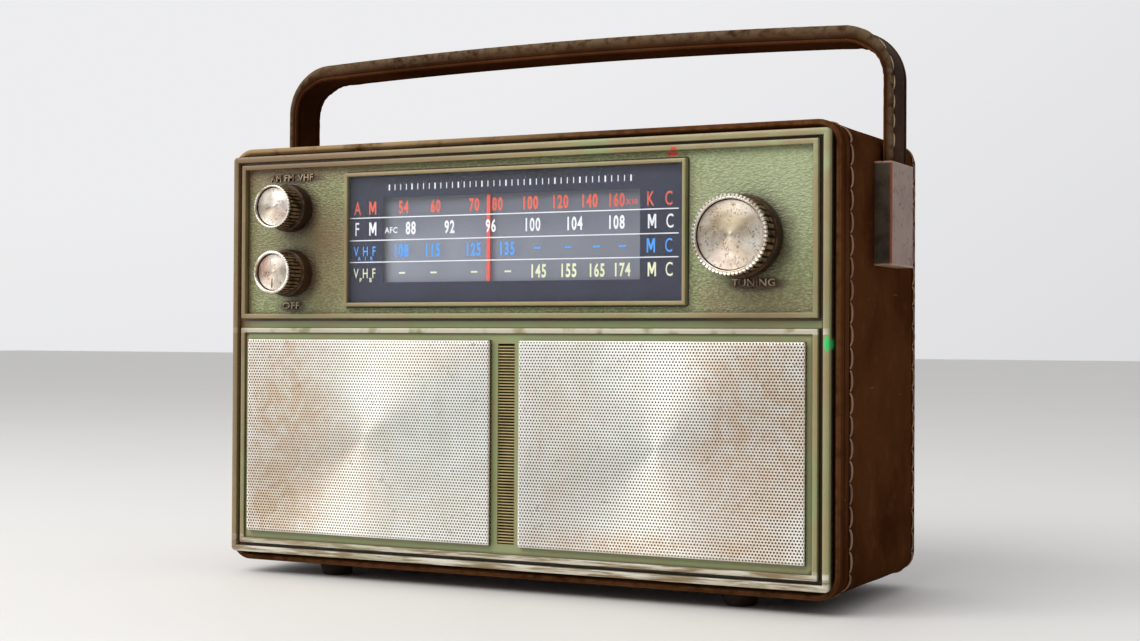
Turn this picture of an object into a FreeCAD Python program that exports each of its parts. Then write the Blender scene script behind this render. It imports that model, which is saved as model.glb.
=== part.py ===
import FreeCAD, Part
import math
import os

# Portable multi-band radio in a leatherette cabinet.
# Millimetres, +Z up, front faces -Y. The origin is the centre of the footprint on the ground.

V = FreeCAD.Vector
os.makedirs("parts", exist_ok=True)

# ---- driving dimensions -------------------------------------------------
ZC = 81.2            # height of the front panel's centre
RIM_Y = -40.0        # front plane of the panel's rims

CASE_HX = 118.6      # half width of the cabinet
CASE_HZ = 76.2       # half height of the cabinet
CASE_Y0 = -36.5      # front lip
CASE_Y1 = 51.0       # back face
CASE_R = 8.0         # corner radius seen from the front
CASE_BACK_R = 6.0    # rounding of the back edges
WALL = 1.8           # cabinet wall
SEAM_Y = (-27.0, 42.6)   # stitched seams round the cabinet

PANEL_HX = 116.0
PANEL_HZ = 73.0
PLATE_Y = (-37.6, -35.0)     # panel plate, front and back
RIM_W = 2.2                  # outer rim
FIELD_HX = 112.2             # outer edge of the two inner rims
FIELD_W = 1.8                # their width
UPPER_Z = (13.1, 69.8)       # upper field, above the panel centre
LOWER_Z = (-69.6, 9.7)       # lower field
LOWER_Y = -39.0              # raised floor under the grilles

DIAL_HX = 65.4               # dial opening
DIAL_Z = (18.8, 64.0)
DIAL_WALL = 1.4

GRILLE_HX = 51.3             # half width of a grille
GRILLE_HZ = 35.2
GRILLE_X = 57.0              # grille centre, left and right
GRILLE_Z = -29.7
GRILLE_FRONT = -41.1
GRILLE_T = 0.8

RIB_PITCH = 1.016            # ribbed strip between the grilles
RIB_COUNT = 67

KNOB_FRONT = -51.0           # front plane of the knobs
KNOB_BACK = -38.2
KNOB_STEP = -43.2            # where the smooth flange ends
BAND_XZ = (-90.5, 53.4)
VOLUME_XZ = (-90.5, 29.7)
TUNING_XZ = (86.4, 39.3)
SHAFT_R = 3.0

DRUM_XZ = (44.0, 33.0)       # dial drum and tuning capacitor axis
DRUM_R = 28.0
CORD_R = 0.4
CORD_Y = -28.0
PULLEY_R = 5.0
LEFT_PULLEY_XZ = (-58.0, 62.0)
RIGHT_PULLEY_XZ = (76.0, 62.0)
POINTER_X = -9.0

CHASSIS_Y = (-21.0, -20.0)
BOARD_Y = (8.0, 9.6)

STRAP_Y = (3.8, 20.6)        # carrying handle
STRAP_X = (119.6, 123.0)
STRAP_TOP = 112.8            # at the corners, above the panel centre
STRAP_CROWN = 115.0          # at the middle
STRAP_BEND = 18.5            # outer bend radius
BRACKET_Y = (-2.1, 23.1)
BRACKET_X = (118.6, 124.5)
BRACKET_Z = (31.0, 65.5)

FOOT_XY = [(-80.0, -23.0), (80.0, -23.0), (-80.0, 36.0), (80.0, 36.0)]
FOOT_R = 6.5

SPEAKER_R = 32.0
ANTENNA_XY = (96.0, 38.0)
CELL_R = 13.1                # C-size cell
CELL_L = 50.0


# ---- helpers ------------------------------------------------------------
def save(name, shape):
    shape.exportStep("parts/" + name + ".step")


def box(x, y, z):
    """Box between pairs of limits; z is counted from the panel centre."""
    return Part.makeBox(x[1] - x[0], y[1] - y[0], z[1] - z[0], V(x[0], y[0], z[0] + ZC))


def cyl_y(xz, r, y0, y1):
    return Part.makeCylinder(r, y1 - y0, V(xz[0], y0, xz[1] + ZC), V(0, 1, 0))


def cyl_x(y, z, r, x0, x1):
    return Part.makeCylinder(r, x1 - x0, V(x0, y, z + ZC), V(1, 0, 0))


def cyl_z(xy, r, z0, z1):
    return Part.makeCylinder(r, z1 - z0, V(xy[0], xy[1], z0 + ZC), V(0, 0, 1))


def cone_y(xz, r0, r1, y0, y1):
    return Part.makeCone(r0, r1, y1 - y0, V(xz[0], y0, xz[1] + ZC), V(0, 1, 0))


def union(shapes):
    out = shapes[0]
    if len(shapes) > 1:
        out = out.multiFuse(shapes[1:])
    return out.removeSplitter()


def group(shapes):
    return Part.makeCompound(shapes)


def rounded(hx, z, r, y0, y1, cx=0.0):
    """Prism along Y with a rounded rectangle for its outline."""
    solid = box((cx - hx, cx + hx), (y0, y1), z)
    if r <= 0:
        return solid
    edges = [e for e in solid.Edges if abs(e.Vertexes[0].Y - e.Vertexes[1].Y) > 0.5 * (y1 - y0)]
    return solid.makeFillet(r, edges)


def frame(hx, z, w, r, y0, y1):
    """Rectangular ring of width w."""
    outer = rounded(hx, z, r, y0, y1)
    inner = rounded(hx - w, (z[0] + w, z[1] - w), max(r - w, 0), y0 - 1, y1 + 1)
    return outer.cut(inner)


def pipe(points, r):
    """Round wire through the given points, which already use the panel-centre height."""
    pts = [V(p[0], p[1], p[2] + ZC) for p in points]
    curve = Part.BSplineCurve()
    curve.interpolate(pts)
    edge = curve.toShape()
    tangent = curve.tangent(curve.FirstParameter)[0]
    ring = Part.Wire([Part.makeCircle(r, pts[0], tangent)])
    return Part.Wire([edge]).makePipeShell([ring], True, True)


# ---- cabinet shell ------------------------------------------------------
body = rounded(CASE_HX, (-CASE_HZ, CASE_HZ), CASE_R, CASE_Y0, CASE_Y1)
back_edges = [e for e in body.Edges if abs(e.BoundBox.YMin - CASE_Y1) < 0.01 and e.BoundBox.YLength < 0.01]
body = body.makeFillet(CASE_BACK_R, back_edges)
lip_edges = [e for e in body.Edges if abs(e.BoundBox.YMin - CASE_Y0) < 0.01 and e.BoundBox.YLength < 0.01]
body = body.makeFillet(0.7, lip_edges)
INNER_HX = CASE_HX - WALL
INNER_HZ = CASE_HZ - WALL
body = body.cut(rounded(INNER_HX, (-INNER_HZ, INNER_HZ), CASE_R - WALL, CASE_Y0 - 1, CASE_Y1 - 4.8))
body = body.cut(rounded(102.0, (-59.0, 59.0), 3.0, CASE_Y1 - 6, CASE_Y1 + 1))
body = body.cut(rounded(106.0, (-63.0, 63.0), 5.0, CASE_Y1 - 2.6, CASE_Y1 + 1))
for y in SEAM_Y:
    ring = rounded(CASE_HX + 2, (-CASE_HZ - 2, CASE_HZ + 2), CASE_R + 2, y - 0.4, y + 0.4)
    ring = ring.cut(rounded(CASE_HX - 0.45, (-CASE_HZ + 0.45, CASE_HZ - 0.45), CASE_R - 0.45, y - 1, y + 1))
    body = body.cut(ring)
# corner blocks behind the panel flange
PANEL_SCREWS = [(sx * 109.5, sz * 66.5) for sx in (-1, 1) for sz in (-1, 1)]
for x, z in PANEL_SCREWS:
    sx = 1 if x > 0 else -1
    sz = 1 if z > 0 else -1
    xs = sorted((x - sx * 3.0, sx * INNER_HX))
    zs = sorted((z - sz * 4.0, sz * INNER_HZ))
    block = box(xs, (-31.0, -25.0), zs).common(
        rounded(CASE_HX - 1, (-CASE_HZ + 1, CASE_HZ - 1), CASE_R - 1, -32, -24))
    body = union([body, block])
    body = body.cut(cyl_y((x, z), 1.5, -32, -24))
body = body.cut(cyl_x(0.0, -20.0, 3.6, -CASE_HX - 1, -CASE_HX + WALL + 1))
body = body.cut(cyl_z(ANTENNA_XY, 3.9, CASE_HZ - WALL - 1, CASE_HZ + 1))
STUD_Z = (40.0, 57.0)
for s in (-1, 1):
    for z in STUD_Z:
        lo, hi = sorted((s * (CASE_HX - WALL - 1), s * (CASE_HX + 1)))
        body = body.cut(cyl_x(10.5, z, 1.8, lo, hi))
COVER_SCREWS = [(sx * 104.0, sz * 50.0) for sx in (-1, 1) for sz in (-1, 1)]
for xz in COVER_SCREWS:
    body = body.cut(cyl_y(xz, 1.45, CASE_Y1 - 6, CASE_Y1 + 1))
save("cabinet_shell", body)

# ---- front panel --------------------------------------------------------
panel = [rounded(PANEL_HX, (-PANEL_HZ, PANEL_HZ), 1.5, PLATE_Y[0], CASE_Y0 - 0.4)]
panel.append(rounded(PANEL_HX, (-PANEL_HZ, PANEL_HZ), 6.0, CASE_Y0 - 0.4, -31.0))
panel.append(rounded(CASE_HX - WALL - 0.3, (-INNER_HZ + 0.3, INNER_HZ - 0.3), 5.5, -33.0, -31.0))
panel.append(frame(PANEL_HX, (-PANEL_HZ, PANEL_HZ), RIM_W, 1.5, RIM_Y, CASE_Y0 - 0.4))
panel.append(frame(FIELD_HX, UPPER_Z, FIELD_W, 0, RIM_Y, -36.0))
panel.append(frame(FIELD_HX, LOWER_Z, FIELD_W, 0, RIM_Y, -36.0))
panel.append(box((-FIELD_HX + 1, FIELD_HX - 1), (LOWER_Y, -36.0), (LOWER_Z[0] + 1, LOWER_Z[1] - 1)))
panel.append(box((-DIAL_HX - DIAL_WALL, DIAL_HX + DIAL_WALL), (-39.8, -36.0),
                 (DIAL_Z[0] - DIAL_WALL, DIAL_Z[1] + DIAL_WALL)))
front = union(panel)
# hollow the back, leaving the plate and a short skirt
front = front.cut(rounded(PANEL_HX - 2.0, (-PANEL_HZ + 2.0, PANEL_HZ - 2.0), 1.0, PLATE_Y[1], -30.0))
CHASSIS_BOSS = [(-103.5, 66.0), (103.5, 66.0), (-103.5, 10.0), (103.5, 10.0)]
posts = [cyl_y(xz, 2.4, -36.0, CHASSIS_Y[0]) for xz in CHASSIS_BOSS]
posts += [cyl_y(xz, 3.5, -36.0, -31.0) for xz in PANEL_SCREWS]
front = union([front] + posts)
front = front.cut(box((-DIAL_HX, DIAL_HX), (-41, -30), DIAL_Z))
front = front.cut(box((-DIAL_HX - 0.7, DIAL_HX + 0.7), (-38.9, -30), (DIAL_Z[0] - 0.7, DIAL_Z[1] + 0.7)))
for x in (-GRILLE_X, GRILLE_X):
    front = front.cut(cyl_y((x, GRILLE_Z), SPEAKER_R - 3.0, -41, -30))
for xz in (BAND_XZ, VOLUME_XZ, TUNING_XZ):
    front = front.cut(cyl_y(xz, 3.6, -41, -30))
for xz in CHASSIS_BOSS:
    front = front.cut(cyl_y(xz, 1.45, -33.0, -20))
for xz in PANEL_SCREWS:
    front = front.cut(cyl_y(xz, 1.45, -36.5, -30))
strip = box((-3.25, 3.25), (-40, -37.8), (-64.3, 4.4))
ribs = []
for i in range(RIB_COUNT):
    z0 = -63.95 + i * RIB_PITCH
    ribs.append(box((-3.25, 3.25), (-38.9, -37.7), (z0, z0 + 0.5)))
front = front.cut(strip)
front = union([front] + ribs)
save("front_panel", front)

# ---- dial ---------------------------------------------------------------
save("dial_window", box((-DIAL_HX - 0.5, DIAL_HX + 0.5), (-38.9, -36.9), (DIAL_Z[0] - 0.5, DIAL_Z[1] + 0.5)))
plate = box((-56.0, 56.0), (-34.6, -33.8), (22.0, 63.0))
feet = [cyl_y((x, 27.0), 2.0, -33.8, CHASSIS_Y[0]) for x in (-52.0, 12.0)]
feet += [cyl_y((x, 58.0), 2.0, -33.8, CHASSIS_Y[0]) for x in (-46.0, 5.0)]
save("dial_backplate", union([plate] + feet))
needle = [box((POINTER_X - 0.65, POINTER_X + 0.65), (-36.2, -35.4), (24.0, 64.4))]
needle.append(box((POINTER_X - 2.5, POINTER_X + 2.5), (-36.2, -30.0), (63.4, 64.4)))
needle.append(box((POINTER_X - 2.5, POINTER_X + 2.5), (-31.0, -26.2), (63.4, 70.4)))
needle = union(needle)
needle = needle.cut(box((POINTER_X - 9, POINTER_X + 9), (-29.7, -25), (60.0, 65.4)))
needle = needle.cut(cyl_x(CORD_Y, LEFT_PULLEY_XZ[1] + PULLEY_R + CORD_R, 0.7, POINTER_X - 9, POINTER_X + 9))
save("dial_pointer", needle)

# ---- grilles ------------------------------------------------------------
for name, x in (("left_grille", -GRILLE_X), ("right_grille", GRILLE_X)):
    z = (GRILLE_Z - GRILLE_HZ, GRILLE_Z + GRILLE_HZ)
    pan = rounded(GRILLE_HX, z, 0.6, GRILLE_FRONT, LOWER_Y, x)
    z_in = (z[0] + GRILLE_T, z[1] - GRILLE_T)
    pan = pan.cut(rounded(GRILLE_HX - GRILLE_T, z_in, 0, GRILLE_FRONT + GRILLE_T, LOWER_Y + 1, x))
    save(name, pan)


# ---- knobs --------------------------------------------------------------
def knob(name, xz, r_flange, r_skirt, r_ring, r_disc, flutes, y_end):
    skin = union([cyl_y(xz, r_flange, KNOB_BACK - 5.0, KNOB_BACK),
                  cyl_y(xz, r_skirt, KNOB_FRONT + 0.8, KNOB_STEP)])
    slots = []
    for i in range(flutes):
        cutter = box((xz[0] + r_skirt - 0.55, xz[0] + r_skirt + 1), (KNOB_FRONT, KNOB_STEP),
                     (xz[1] - 0.35, xz[1] + 0.35))
        cutter.rotate(V(xz[0], 0, xz[1] + ZC), V(0, 1, 0), 360.0 * i / flutes)
        slots.append(cutter)
    skin = skin.cut(group(slots))
    skin = skin.cut(cyl_y(xz, r_disc + 0.2, KNOB_FRONT - 1, KNOB_FRONT + 1.6))
    skin = skin.cut(cyl_y(xz, SHAFT_R, KNOB_STEP - 4.0, KNOB_BACK + 1))
    save(name + "_body", skin)
    ring = cyl_y(xz, r_ring, KNOB_FRONT, KNOB_FRONT + 0.8).cut(
        cyl_y(xz, r_disc + 0.2, KNOB_FRONT - 1, KNOB_FRONT + 2))
    save(name + "_ring", ring)
    disc = union([cyl_y(xz, r_disc, KNOB_FRONT + 1.1, KNOB_FRONT + 1.6),
                  cyl_y(xz, 0.6, KNOB_FRONT + 1.0, KNOB_FRONT + 1.3)])
    save(name + "_disc", disc)
    shaft = cyl_y(xz, SHAFT_R, KNOB_STEP - 4.0, y_end)
    return shaft


save("band_shaft", knob("band_knob", BAND_XZ, 8.7, 7.7, 7.9, 6.9, 34, -26.0))
save("volume_shaft", knob("volume_knob", VOLUME_XZ, 8.7, 7.7, 7.9, 6.5, 34, -26.0))
tuning = knob("tuning_knob", TUNING_XZ, 13.6, 12.7, 13.1, 11.2, 35, -17.0)
tuning = tuning.cut(cyl_y(TUNING_XZ, 5, CORD_Y - 1, CORD_Y + 1).cut(cyl_y(TUNING_XZ, 2.95, -35, -20)))
save("tuning_shaft", tuning)

# controls behind the panel
for name, xz, r in (("band_switch", BAND_XZ, 11.0), ("volume_control", VOLUME_XZ, 10.0)):
    case = [cyl_y(xz, r, -30.0, CHASSIS_Y[0]), cyl_y(xz, 4.6, -34.0, -30.0)]
    terminals = [box((xz[0] + dx - 0.9, xz[0] + dx + 0.9), (-24.5, -24.0), (xz[1] - r - 1.4, xz[1] - r + 1.0))
                 for dx in (-4.0, 0.0, 4.0)]
    if name == "band_switch":
        terminals = []
    control = union(case + terminals)
    save(name, control.cut(cyl_y(xz, SHAFT_R + 0.05, -35.0, -25.9)))

# ---- chassis ------------------------------------------------------------
chassis = box((-108.0, 108.0), CHASSIS_Y, (5.0, 71.0))
BOARD_POSTS = [(-96.0, 12.0), (96.0, 12.0), (-96.0, 66.0), (96.0, 66.0)]
fixed = [cyl_y(xz, 3.0, -20.5, BOARD_Y[0]) for xz in BOARD_POSTS]
fixed.append(cyl_y(TUNING_XZ, 5.0, -23.0, -17.5))
for xz in (LEFT_PULLEY_XZ, RIGHT_PULLEY_XZ):
    fixed.append(cyl_y(xz, 1.5, -30.6, -20.5))
    fixed.append(cyl_y(xz, 2.5, -26.2, -20.5))
chassis = union([chassis] + fixed)
chassis = chassis.cut(cyl_y(TUNING_XZ, SHAFT_R + 0.05, -24, -15))
chassis = chassis.cut(cyl_y(DRUM_XZ, 6.0, -22, -19))
for xz in CHASSIS_BOSS:
    chassis = chassis.cut(cyl_y(xz, 1.7, -22, -19))
for xz in BOARD_POSTS:
    chassis = chassis.cut(cyl_y(xz, 1.45, 0, 9))
save("chassis_plate", chassis)

board = box((-101.0, 99.0), BOARD_Y, (5.0, 71.0))
for xz in BOARD_POSTS:
    board = board.cut(cyl_y(xz, 1.7, 7, 11))
save("circuit_board", board)


def screw(xz, head, tip, r_head=2.7, r=1.4):
    """Screw along Y whose head stands behind the given plane."""
    return union([cyl_y(xz, r_head, head, head + 1.8), cyl_y(xz, r, tip, head)]).cut(
        box((xz[0] - 2, xz[0] + 2), (head + 1.0, head + 2), (xz[1] - 0.35, xz[1] + 0.35)))


inner = [screw(xz, -25.0, -34.0) for xz in PANEL_SCREWS]
inner += [screw(xz, CHASSIS_Y[1], -29.0) for xz in CHASSIS_BOSS]
inner += [screw(xz, BOARD_Y[1], 1.0) for xz in BOARD_POSTS]
save("chassis_screws", group(inner))


# ---- dial drive ---------------------------------------------------------
def wheel(xz, r_groove, r_edge, bore):
    discs = [cyl_y(xz, r_edge, CORD_Y - 1.5, CORD_Y - 0.8), cyl_y(xz, r_groove, CORD_Y - 0.9, CORD_Y + 0.9),
             cyl_y(xz, r_edge, CORD_Y + 0.8, CORD_Y + 1.5)]
    return union(discs).cut(cyl_y(xz, bore, CORD_Y - 3, CORD_Y + 3))


save("cord_pulley_left", wheel(LEFT_PULLEY_XZ, PULLEY_R - 0.05, PULLEY_R + 1.2, 1.55))
save("cord_pulley_right", wheel(RIGHT_PULLEY_XZ, PULLEY_R - 0.05, PULLEY_R + 1.2, 1.55))
drum = wheel(DRUM_XZ, DRUM_R - 0.05, DRUM_R + 1.2, 2.5)
for i in range(5):
    hole = cyl_y((DRUM_XZ[0], DRUM_XZ[1] + 16.0), 5.5, -32, -24)
    hole.rotate(V(DRUM_XZ[0], 0, DRUM_XZ[1] + ZC), V(0, 1, 0), 72.0 * i)
    drum = drum.cut(hole)
drum = union([drum, cyl_y(DRUM_XZ, 5.0, CORD_Y + 1.4, -23.0).cut(cyl_y(DRUM_XZ, 2.5, -30, -20))])
save("dial_drum", drum)


def tangent(a, ra, b, rb):
    """Outer tangent points of two circles, on the right-hand side going from a to b."""
    dx, dz = b[0] - a[0], b[1] - a[1]
    length = math.hypot(dx, dz)
    ux, uz = dx / length, dz / length
    c = (ra - rb) / length
    s = math.sqrt(1 - c * c)
    nx, nz = c * ux + s * uz, c * uz - s * ux
    return (a[0] + ra * nx, a[1] + ra * nz), (b[0] + rb * nx, b[1] + rb * nz)


belt = [(LEFT_PULLEY_XZ, PULLEY_R + CORD_R), (DRUM_XZ, DRUM_R + CORD_R),
        (TUNING_XZ, SHAFT_R + CORD_R), (RIGHT_PULLEY_XZ, PULLEY_R + CORD_R)]
lines = []
for i in range(4):
    (a, ra), (b, rb) = belt[i], belt[(i + 1) % 4]
    lines.append(tangent(a, ra, b, rb))
edges = []
for i in range(4):
    p, q = lines[i]
    edges.append(Part.makeLine(V(p[0], CORD_Y, p[1] + ZC), V(q[0], CORD_Y, q[1] + ZC)))
    centre, r = belt[(i + 1) % 4]
    nxt = lines[(i + 1) % 4][0]
    a0 = math.atan2(q[1] - centre[1], q[0] - centre[0])
    a1 = math.atan2(nxt[1] - centre[1], nxt[0] - centre[0])
    if a1 < a0:
        a1 += 2 * math.pi
    am = 0.5 * (a0 + a1)
    mid = V(centre[0] + r * math.cos(am), CORD_Y, centre[1] + r * math.sin(am) + ZC)
    edges.append(Part.Arc(V(q[0], CORD_Y, q[1] + ZC), mid, V(nxt[0], CORD_Y, nxt[1] + ZC)).toShape())
path = Part.Wire(Part.__sortEdges__(edges))
start = edges[0].valueAt(edges[0].FirstParameter)
along = edges[0].tangentAt(edges[0].FirstParameter)
section = Part.Wire([Part.makeCircle(CORD_R, start, along)])
save("dial_cord", path.makePipeShell([section], True, True))

# tuning capacitor: half-disc plates turning between fixed plates
GANG_X = (27.0, 61.0)
GANG_Z = (14.0, 50.0)
ends = [box(GANG_X, (-20.0, -19.0), GANG_Z), box(GANG_X, (4.0, 5.0), GANG_Z)]
ends.append(box(GANG_X, (-20.0, 5.0), (GANG_Z[0], GANG_Z[0] + 1.0)))
ends.append(box((GANG_X[0], GANG_X[0] + 1.0), (-20.0, 5.0), GANG_Z))
for i in range(6):
    y = -16.0 + 3.0 * i
    fixed_plate = box((GANG_X[0] + 0.5, 43.0), (y, y + 0.7), (GANG_Z[0] + 0.5, GANG_Z[1] - 1.0))
    ends.append(fixed_plate.cut(cyl_y(DRUM_XZ, 4.0, y - 1, y + 2)))
gang = union(ends)
gang = gang.cut(cyl_y(DRUM_XZ, 2.55, -21, 6))
save("tuning_capacitor_frame", gang)
rotor = [cyl_y(DRUM_XZ, 2.5, CORD_Y - 2.5, 5.6)]
for i in range(5):
    y = -14.5 + 3.0 * i
    half = cyl_y(DRUM_XZ, 15.0, y, y + 0.7).common(box((44.0, 64.0), (-20, 6), (10.0, 56.0)))
    half.rotate(V(DRUM_XZ[0], 0, DRUM_XZ[1] + ZC), V(0, 1, 0), -20.0)
    rotor.append(half)
    rotor.append(cyl_y(DRUM_XZ, 3.6, y - 0.2, y + 0.9))
save("tuning_capacitor_rotor", union(rotor))

# ---- loudspeakers -------------------------------------------------------
frames, cones, magnets = [], [], []
for x in (-GRILLE_X, GRILLE_X):
    c = (x, GRILLE_Z)
    rim = cyl_y(c, SPEAKER_R, -35.0, -33.6).cut(cyl_y(c, SPEAKER_R - 3.0, -36, -33))
    basket = cone_y(c, 29.8, 15.0, -33.6, -18.0).cut(cone_y(c, 29.0, 14.2, -33.6, -18.0))
    basket = union([rim, cyl_y(c, 30.6, -34.0, -33.5).cut(cyl_y(c, 29.0, -35, -33)), basket,
                    cyl_y(c, 15.0, -18.4, -17.4).cut(cyl_y(c, 4.2, -19, -17))])
    for i in range(6):
        vent = cyl_y((x, GRILLE_Z + 22.0), 4.4, -31.0, -18.6)
        vent.rotate(V(x, 0, GRILLE_Z + ZC), V(0, 1, 0), 60.0 * i)
        basket = basket.cut(vent)
    frames.append(basket)
    paper = cone_y(c, 28.0, 6.0, -33.4, -21.0).cut(cone_y(c, 27.3, 5.3, -33.4, -21.0))
    dome = Part.makeSphere(6.4, V(x, -19.6, GRILLE_Z + ZC)).common(cyl_y(c, 6.2, -27, -20.6))
    cones.append(union([paper, dome]))
    magnets.append(union([cyl_y(c, 15.5, -17.4, -9.0), cyl_y(c, 3.8, -19.4, -17.0)]))
save("speaker_frames", group(frames))
save("speaker_cones", group(cones))
save("speaker_magnets", group(magnets))

# ---- parts on the circuit board ----------------------------------------
cans, transistors, caps = [], [], []
for i, (x, z) in enumerate([(-60.0, 50.0), (-40.0, 34.0), (-20.0, 50.0), (2.0, 34.0), (22.0, 50.0)]):
    can = box((x - 5, x + 5), (BOARD_Y[1], BOARD_Y[1] + 14), (z - 5, z + 5))
    cans.append(can.cut(cyl_y((x, z), 1.6, BOARD_Y[1] + 12, BOARD_Y[1] + 15)))
for x, z in [(-70.0, 36.0), (-50.0, 20.0), (-30.0, 20.0), (-8.0, 20.0), (12.0, 50.0), (36.0, 36.0), (50.0, 20.0)]:
    transistors.append(union([cyl_y((x, z), 2.6, BOARD_Y[1], BOARD_Y[1] + 5.5),
                              cyl_y((x, z), 3.1, BOARD_Y[1], BOARD_Y[1] + 0.8)]))
for x, z in [(-80.0, 20.0), (-60.0, 14.0), (14.0, 16.0), (32.0, 20.0), (60.0, 36.0), (78.0, 42.0)]:
    caps.append(cyl_y((x, z), 4.0, BOARD_Y[1], BOARD_Y[1] + 12.0))
save("if_cans", group(cans))
save("transistors", group(transistors))
save("capacitors", group(caps))
core = box((60.0, 84.0), (BOARD_Y[1], BOARD_Y[1] + 14), (10.0, 24.0))
coil = box((63.0, 81.0), (BOARD_Y[1] + 1, BOARD_Y[1] + 17), (7.0, 27.0))
save("output_transformer", union([core, coil]))

ROD_Y, ROD_Z = 24.0, 63.0
save("ferrite_rod", cyl_x(ROD_Y, ROD_Z, 5.0, -75.0, 65.0))
wound = []
for x0, x1 in ((-70.0, -48.0), (30.0, 44.0)):
    wound.append(cyl_x(ROD_Y, ROD_Z, 6.4, x0, x1).cut(cyl_x(ROD_Y, ROD_Z, 5.0, x0 - 1, x1 + 1)))
save("aerial_coils", group(wound))
holders = []
for x in (-40.0, 22.0):
    arm = box((x, x + 5.0), (BOARD_Y[1], ROD_Y + 7.5), (ROD_Z - 6.5, ROD_Z + 6.5))
    holders.append(arm.cut(cyl_x(ROD_Y, ROD_Z, 5.0, x - 1, x + 6)))
save("rod_holders", group(holders))

# ---- earphone jack ------------------------------------------------------
jack = [cyl_x(0.0, -20.0, 5.0, -CASE_HX - 0.9, -CASE_HX), cyl_x(0.0, -20.0, 3.3, -CASE_HX, -107.0)]
jack.append(cyl_x(0.0, -20.0, 5.5, -CASE_HX + WALL, -CASE_HX + WALL + 2.0))
jack.append(box((-CASE_HX + WALL + 2.0, -101.0), (-4.5, 4.5), (-24.5, -15.5)))
jack = union(jack).cut(cyl_x(0.0, -20.0, 1.8, -CASE_HX - 2, -103.0))
save("earphone_jack", jack)

# ---- back cover, battery door, battery ---------------------------------
DOOR_X = (-96.8, 6.8)
DOOR_Z = (-57.2, -4.0)
HINGE_Y = 49.6
HINGE_Z = -56.0
cover = rounded(105.6, (-62.6, 62.6), 4.6, 48.4, 50.8)
cover = cover.cut(box((DOOR_X[0] - 0.4, DOOR_X[1] + 0.4), (47, 52), (DOOR_Z[0] - 0.4, DOOR_Z[1] + 0.4)))
for x0, x1 in ((DOOR_X[0] - 2.4, DOOR_X[0]), (DOOR_X[1], DOOR_X[1] + 2.4)):
    cover = cover.cut(cyl_x(HINGE_Y, HINGE_Z, 0.75, x0, x1))
for i in range(14):
    z0 = 8.0 + 3.4 * i
    cover = cover.cut(box((20.0, 88.0), (47, 52), (z0, z0 + 1.5)).common(box((0, 99), (0, 99), (8, 56))))
for xz in COVER_SCREWS:
    cover = cover.cut(cyl_y(xz, 1.7, 47, 52))
save("back_cover", cover)
save("back_cover_screws", group([union([cyl_y(xz, 1.65, 49.4, 51.0), cyl_y(xz, 1.4, 44.0, 49.5)]).cut(
    box((xz[0] - 3, xz[0] + 3), (50.3, 52), (xz[1] - 0.3, xz[1] + 0.3))) for xz in COVER_SCREWS]))
door = box(DOOR_X, (48.4, 50.8), DOOR_Z)
low = [e for e in door.Edges if e.BoundBox.XLength > 50 and abs(e.BoundBox.ZMin - DOOR_Z[0] - ZC) < 0.01]
door = door.makeFillet(1.1, low)
door = union([door, cyl_x(HINGE_Y, HINGE_Z, 0.7, DOOR_X[0] - 2.0, DOOR_X[1] + 2.0)])
door = door.cut(box((-53.0, -37.0), (49.8, 52), (-8.0, -3.0)))
save("battery_door", door)

BOX_X = (-99.0, 9.0)
BOX_Z = (-58.4, -1.6)
tray = box(BOX_X, (17.5, 48.4), BOX_Z)
tray = tray.cut(box((BOX_X[0] + 1.5, BOX_X[1] - 1.5), (19.0, 50), (BOX_Z[0] + 1.5, BOX_Z[1] - 1.5)))
save("battery_box", tray)
CELL_ZC = (-43.5, -16.5)
CELL_YC = 32.6
cells, metal = [], []
for z in CELL_ZC:
    for x0 in (-93.2, -43.1):
        cells.append(union([cyl_x(CELL_YC, z, CELL_R, x0, x0 + CELL_L - 1.5),
                            cyl_x(CELL_YC, z, 3.2, x0 + CELL_L - 1.6, x0 + CELL_L)]))
    metal.append(box((7.0, 7.5), (CELL_YC - 7, CELL_YC + 7), (z - 7, z + 7)))
    metal.append(box((-97.5, -97.0), (CELL_YC - 7, CELL_YC + 7), (z - 7, z + 7)))
    leaf = [V(-97.0, CELL_YC - 5, z - 3 + ZC), V(-94.2, CELL_YC, z - 3 + ZC), V(-97.0, CELL_YC + 5, z - 3 + ZC),
            V(-97.0, CELL_YC + 4.2, z - 3 + ZC), V(-94.7, CELL_YC, z - 3 + ZC), V(-97.0, CELL_YC - 4.2, z - 3 + ZC)]
    metal.append(Part.Face(Part.makePolygon(leaf + leaf[:1])).extrude(V(0, 0, 6)))
save("battery_cells", group(cells))
save("battery_contacts", group(metal))

# ---- antenna ------------------------------------------------------------
TUBE_TOP = CASE_HZ - 0.1
radii = [(3.6, 3.15), (3.1, 2.6), (2.55, 2.05), (2.0, 1.5), (1.45, 0)]
names = ["antenna_tube", "antenna_section_1", "antenna_section_2", "antenna_section_3", "antenna_section_4"]
for i, (ro, ri) in enumerate(radii):
    top = TUBE_TOP + 0.1 * i
    bottom = -45.0 + 2.0 * i
    mast = cyl_z(ANTENNA_XY, ro, bottom, top)
    if ri > 0:
        mast = mast.cut(cyl_z(ANTENNA_XY, ri, bottom + 1.5, top + 1))
    if i == 0:
        mast = union([mast, box((88.0, 95.0), (36.5, 39.5), (-38.0, -34.0)).cut(cyl_z(ANTENNA_XY, 3.4, -40, -30)),
                      cyl_z(ANTENNA_XY, 6.0, CASE_HZ - WALL - 1.6, CASE_HZ - WALL).cut(
                          cyl_z(ANTENNA_XY, 3.4, 60, 80))])
    if i == 4:
        mast = union([mast, cyl_z(ANTENNA_XY, 3.4, TUBE_TOP + 0.4, TUBE_TOP + 3.0)])
        rim = [e for e in mast.Edges if abs(e.BoundBox.ZMin - ZC - TUBE_TOP - 3.0) < 0.01]
        mast = mast.makeFillet(0.8, rim)
    save(names[i], mast)


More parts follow.
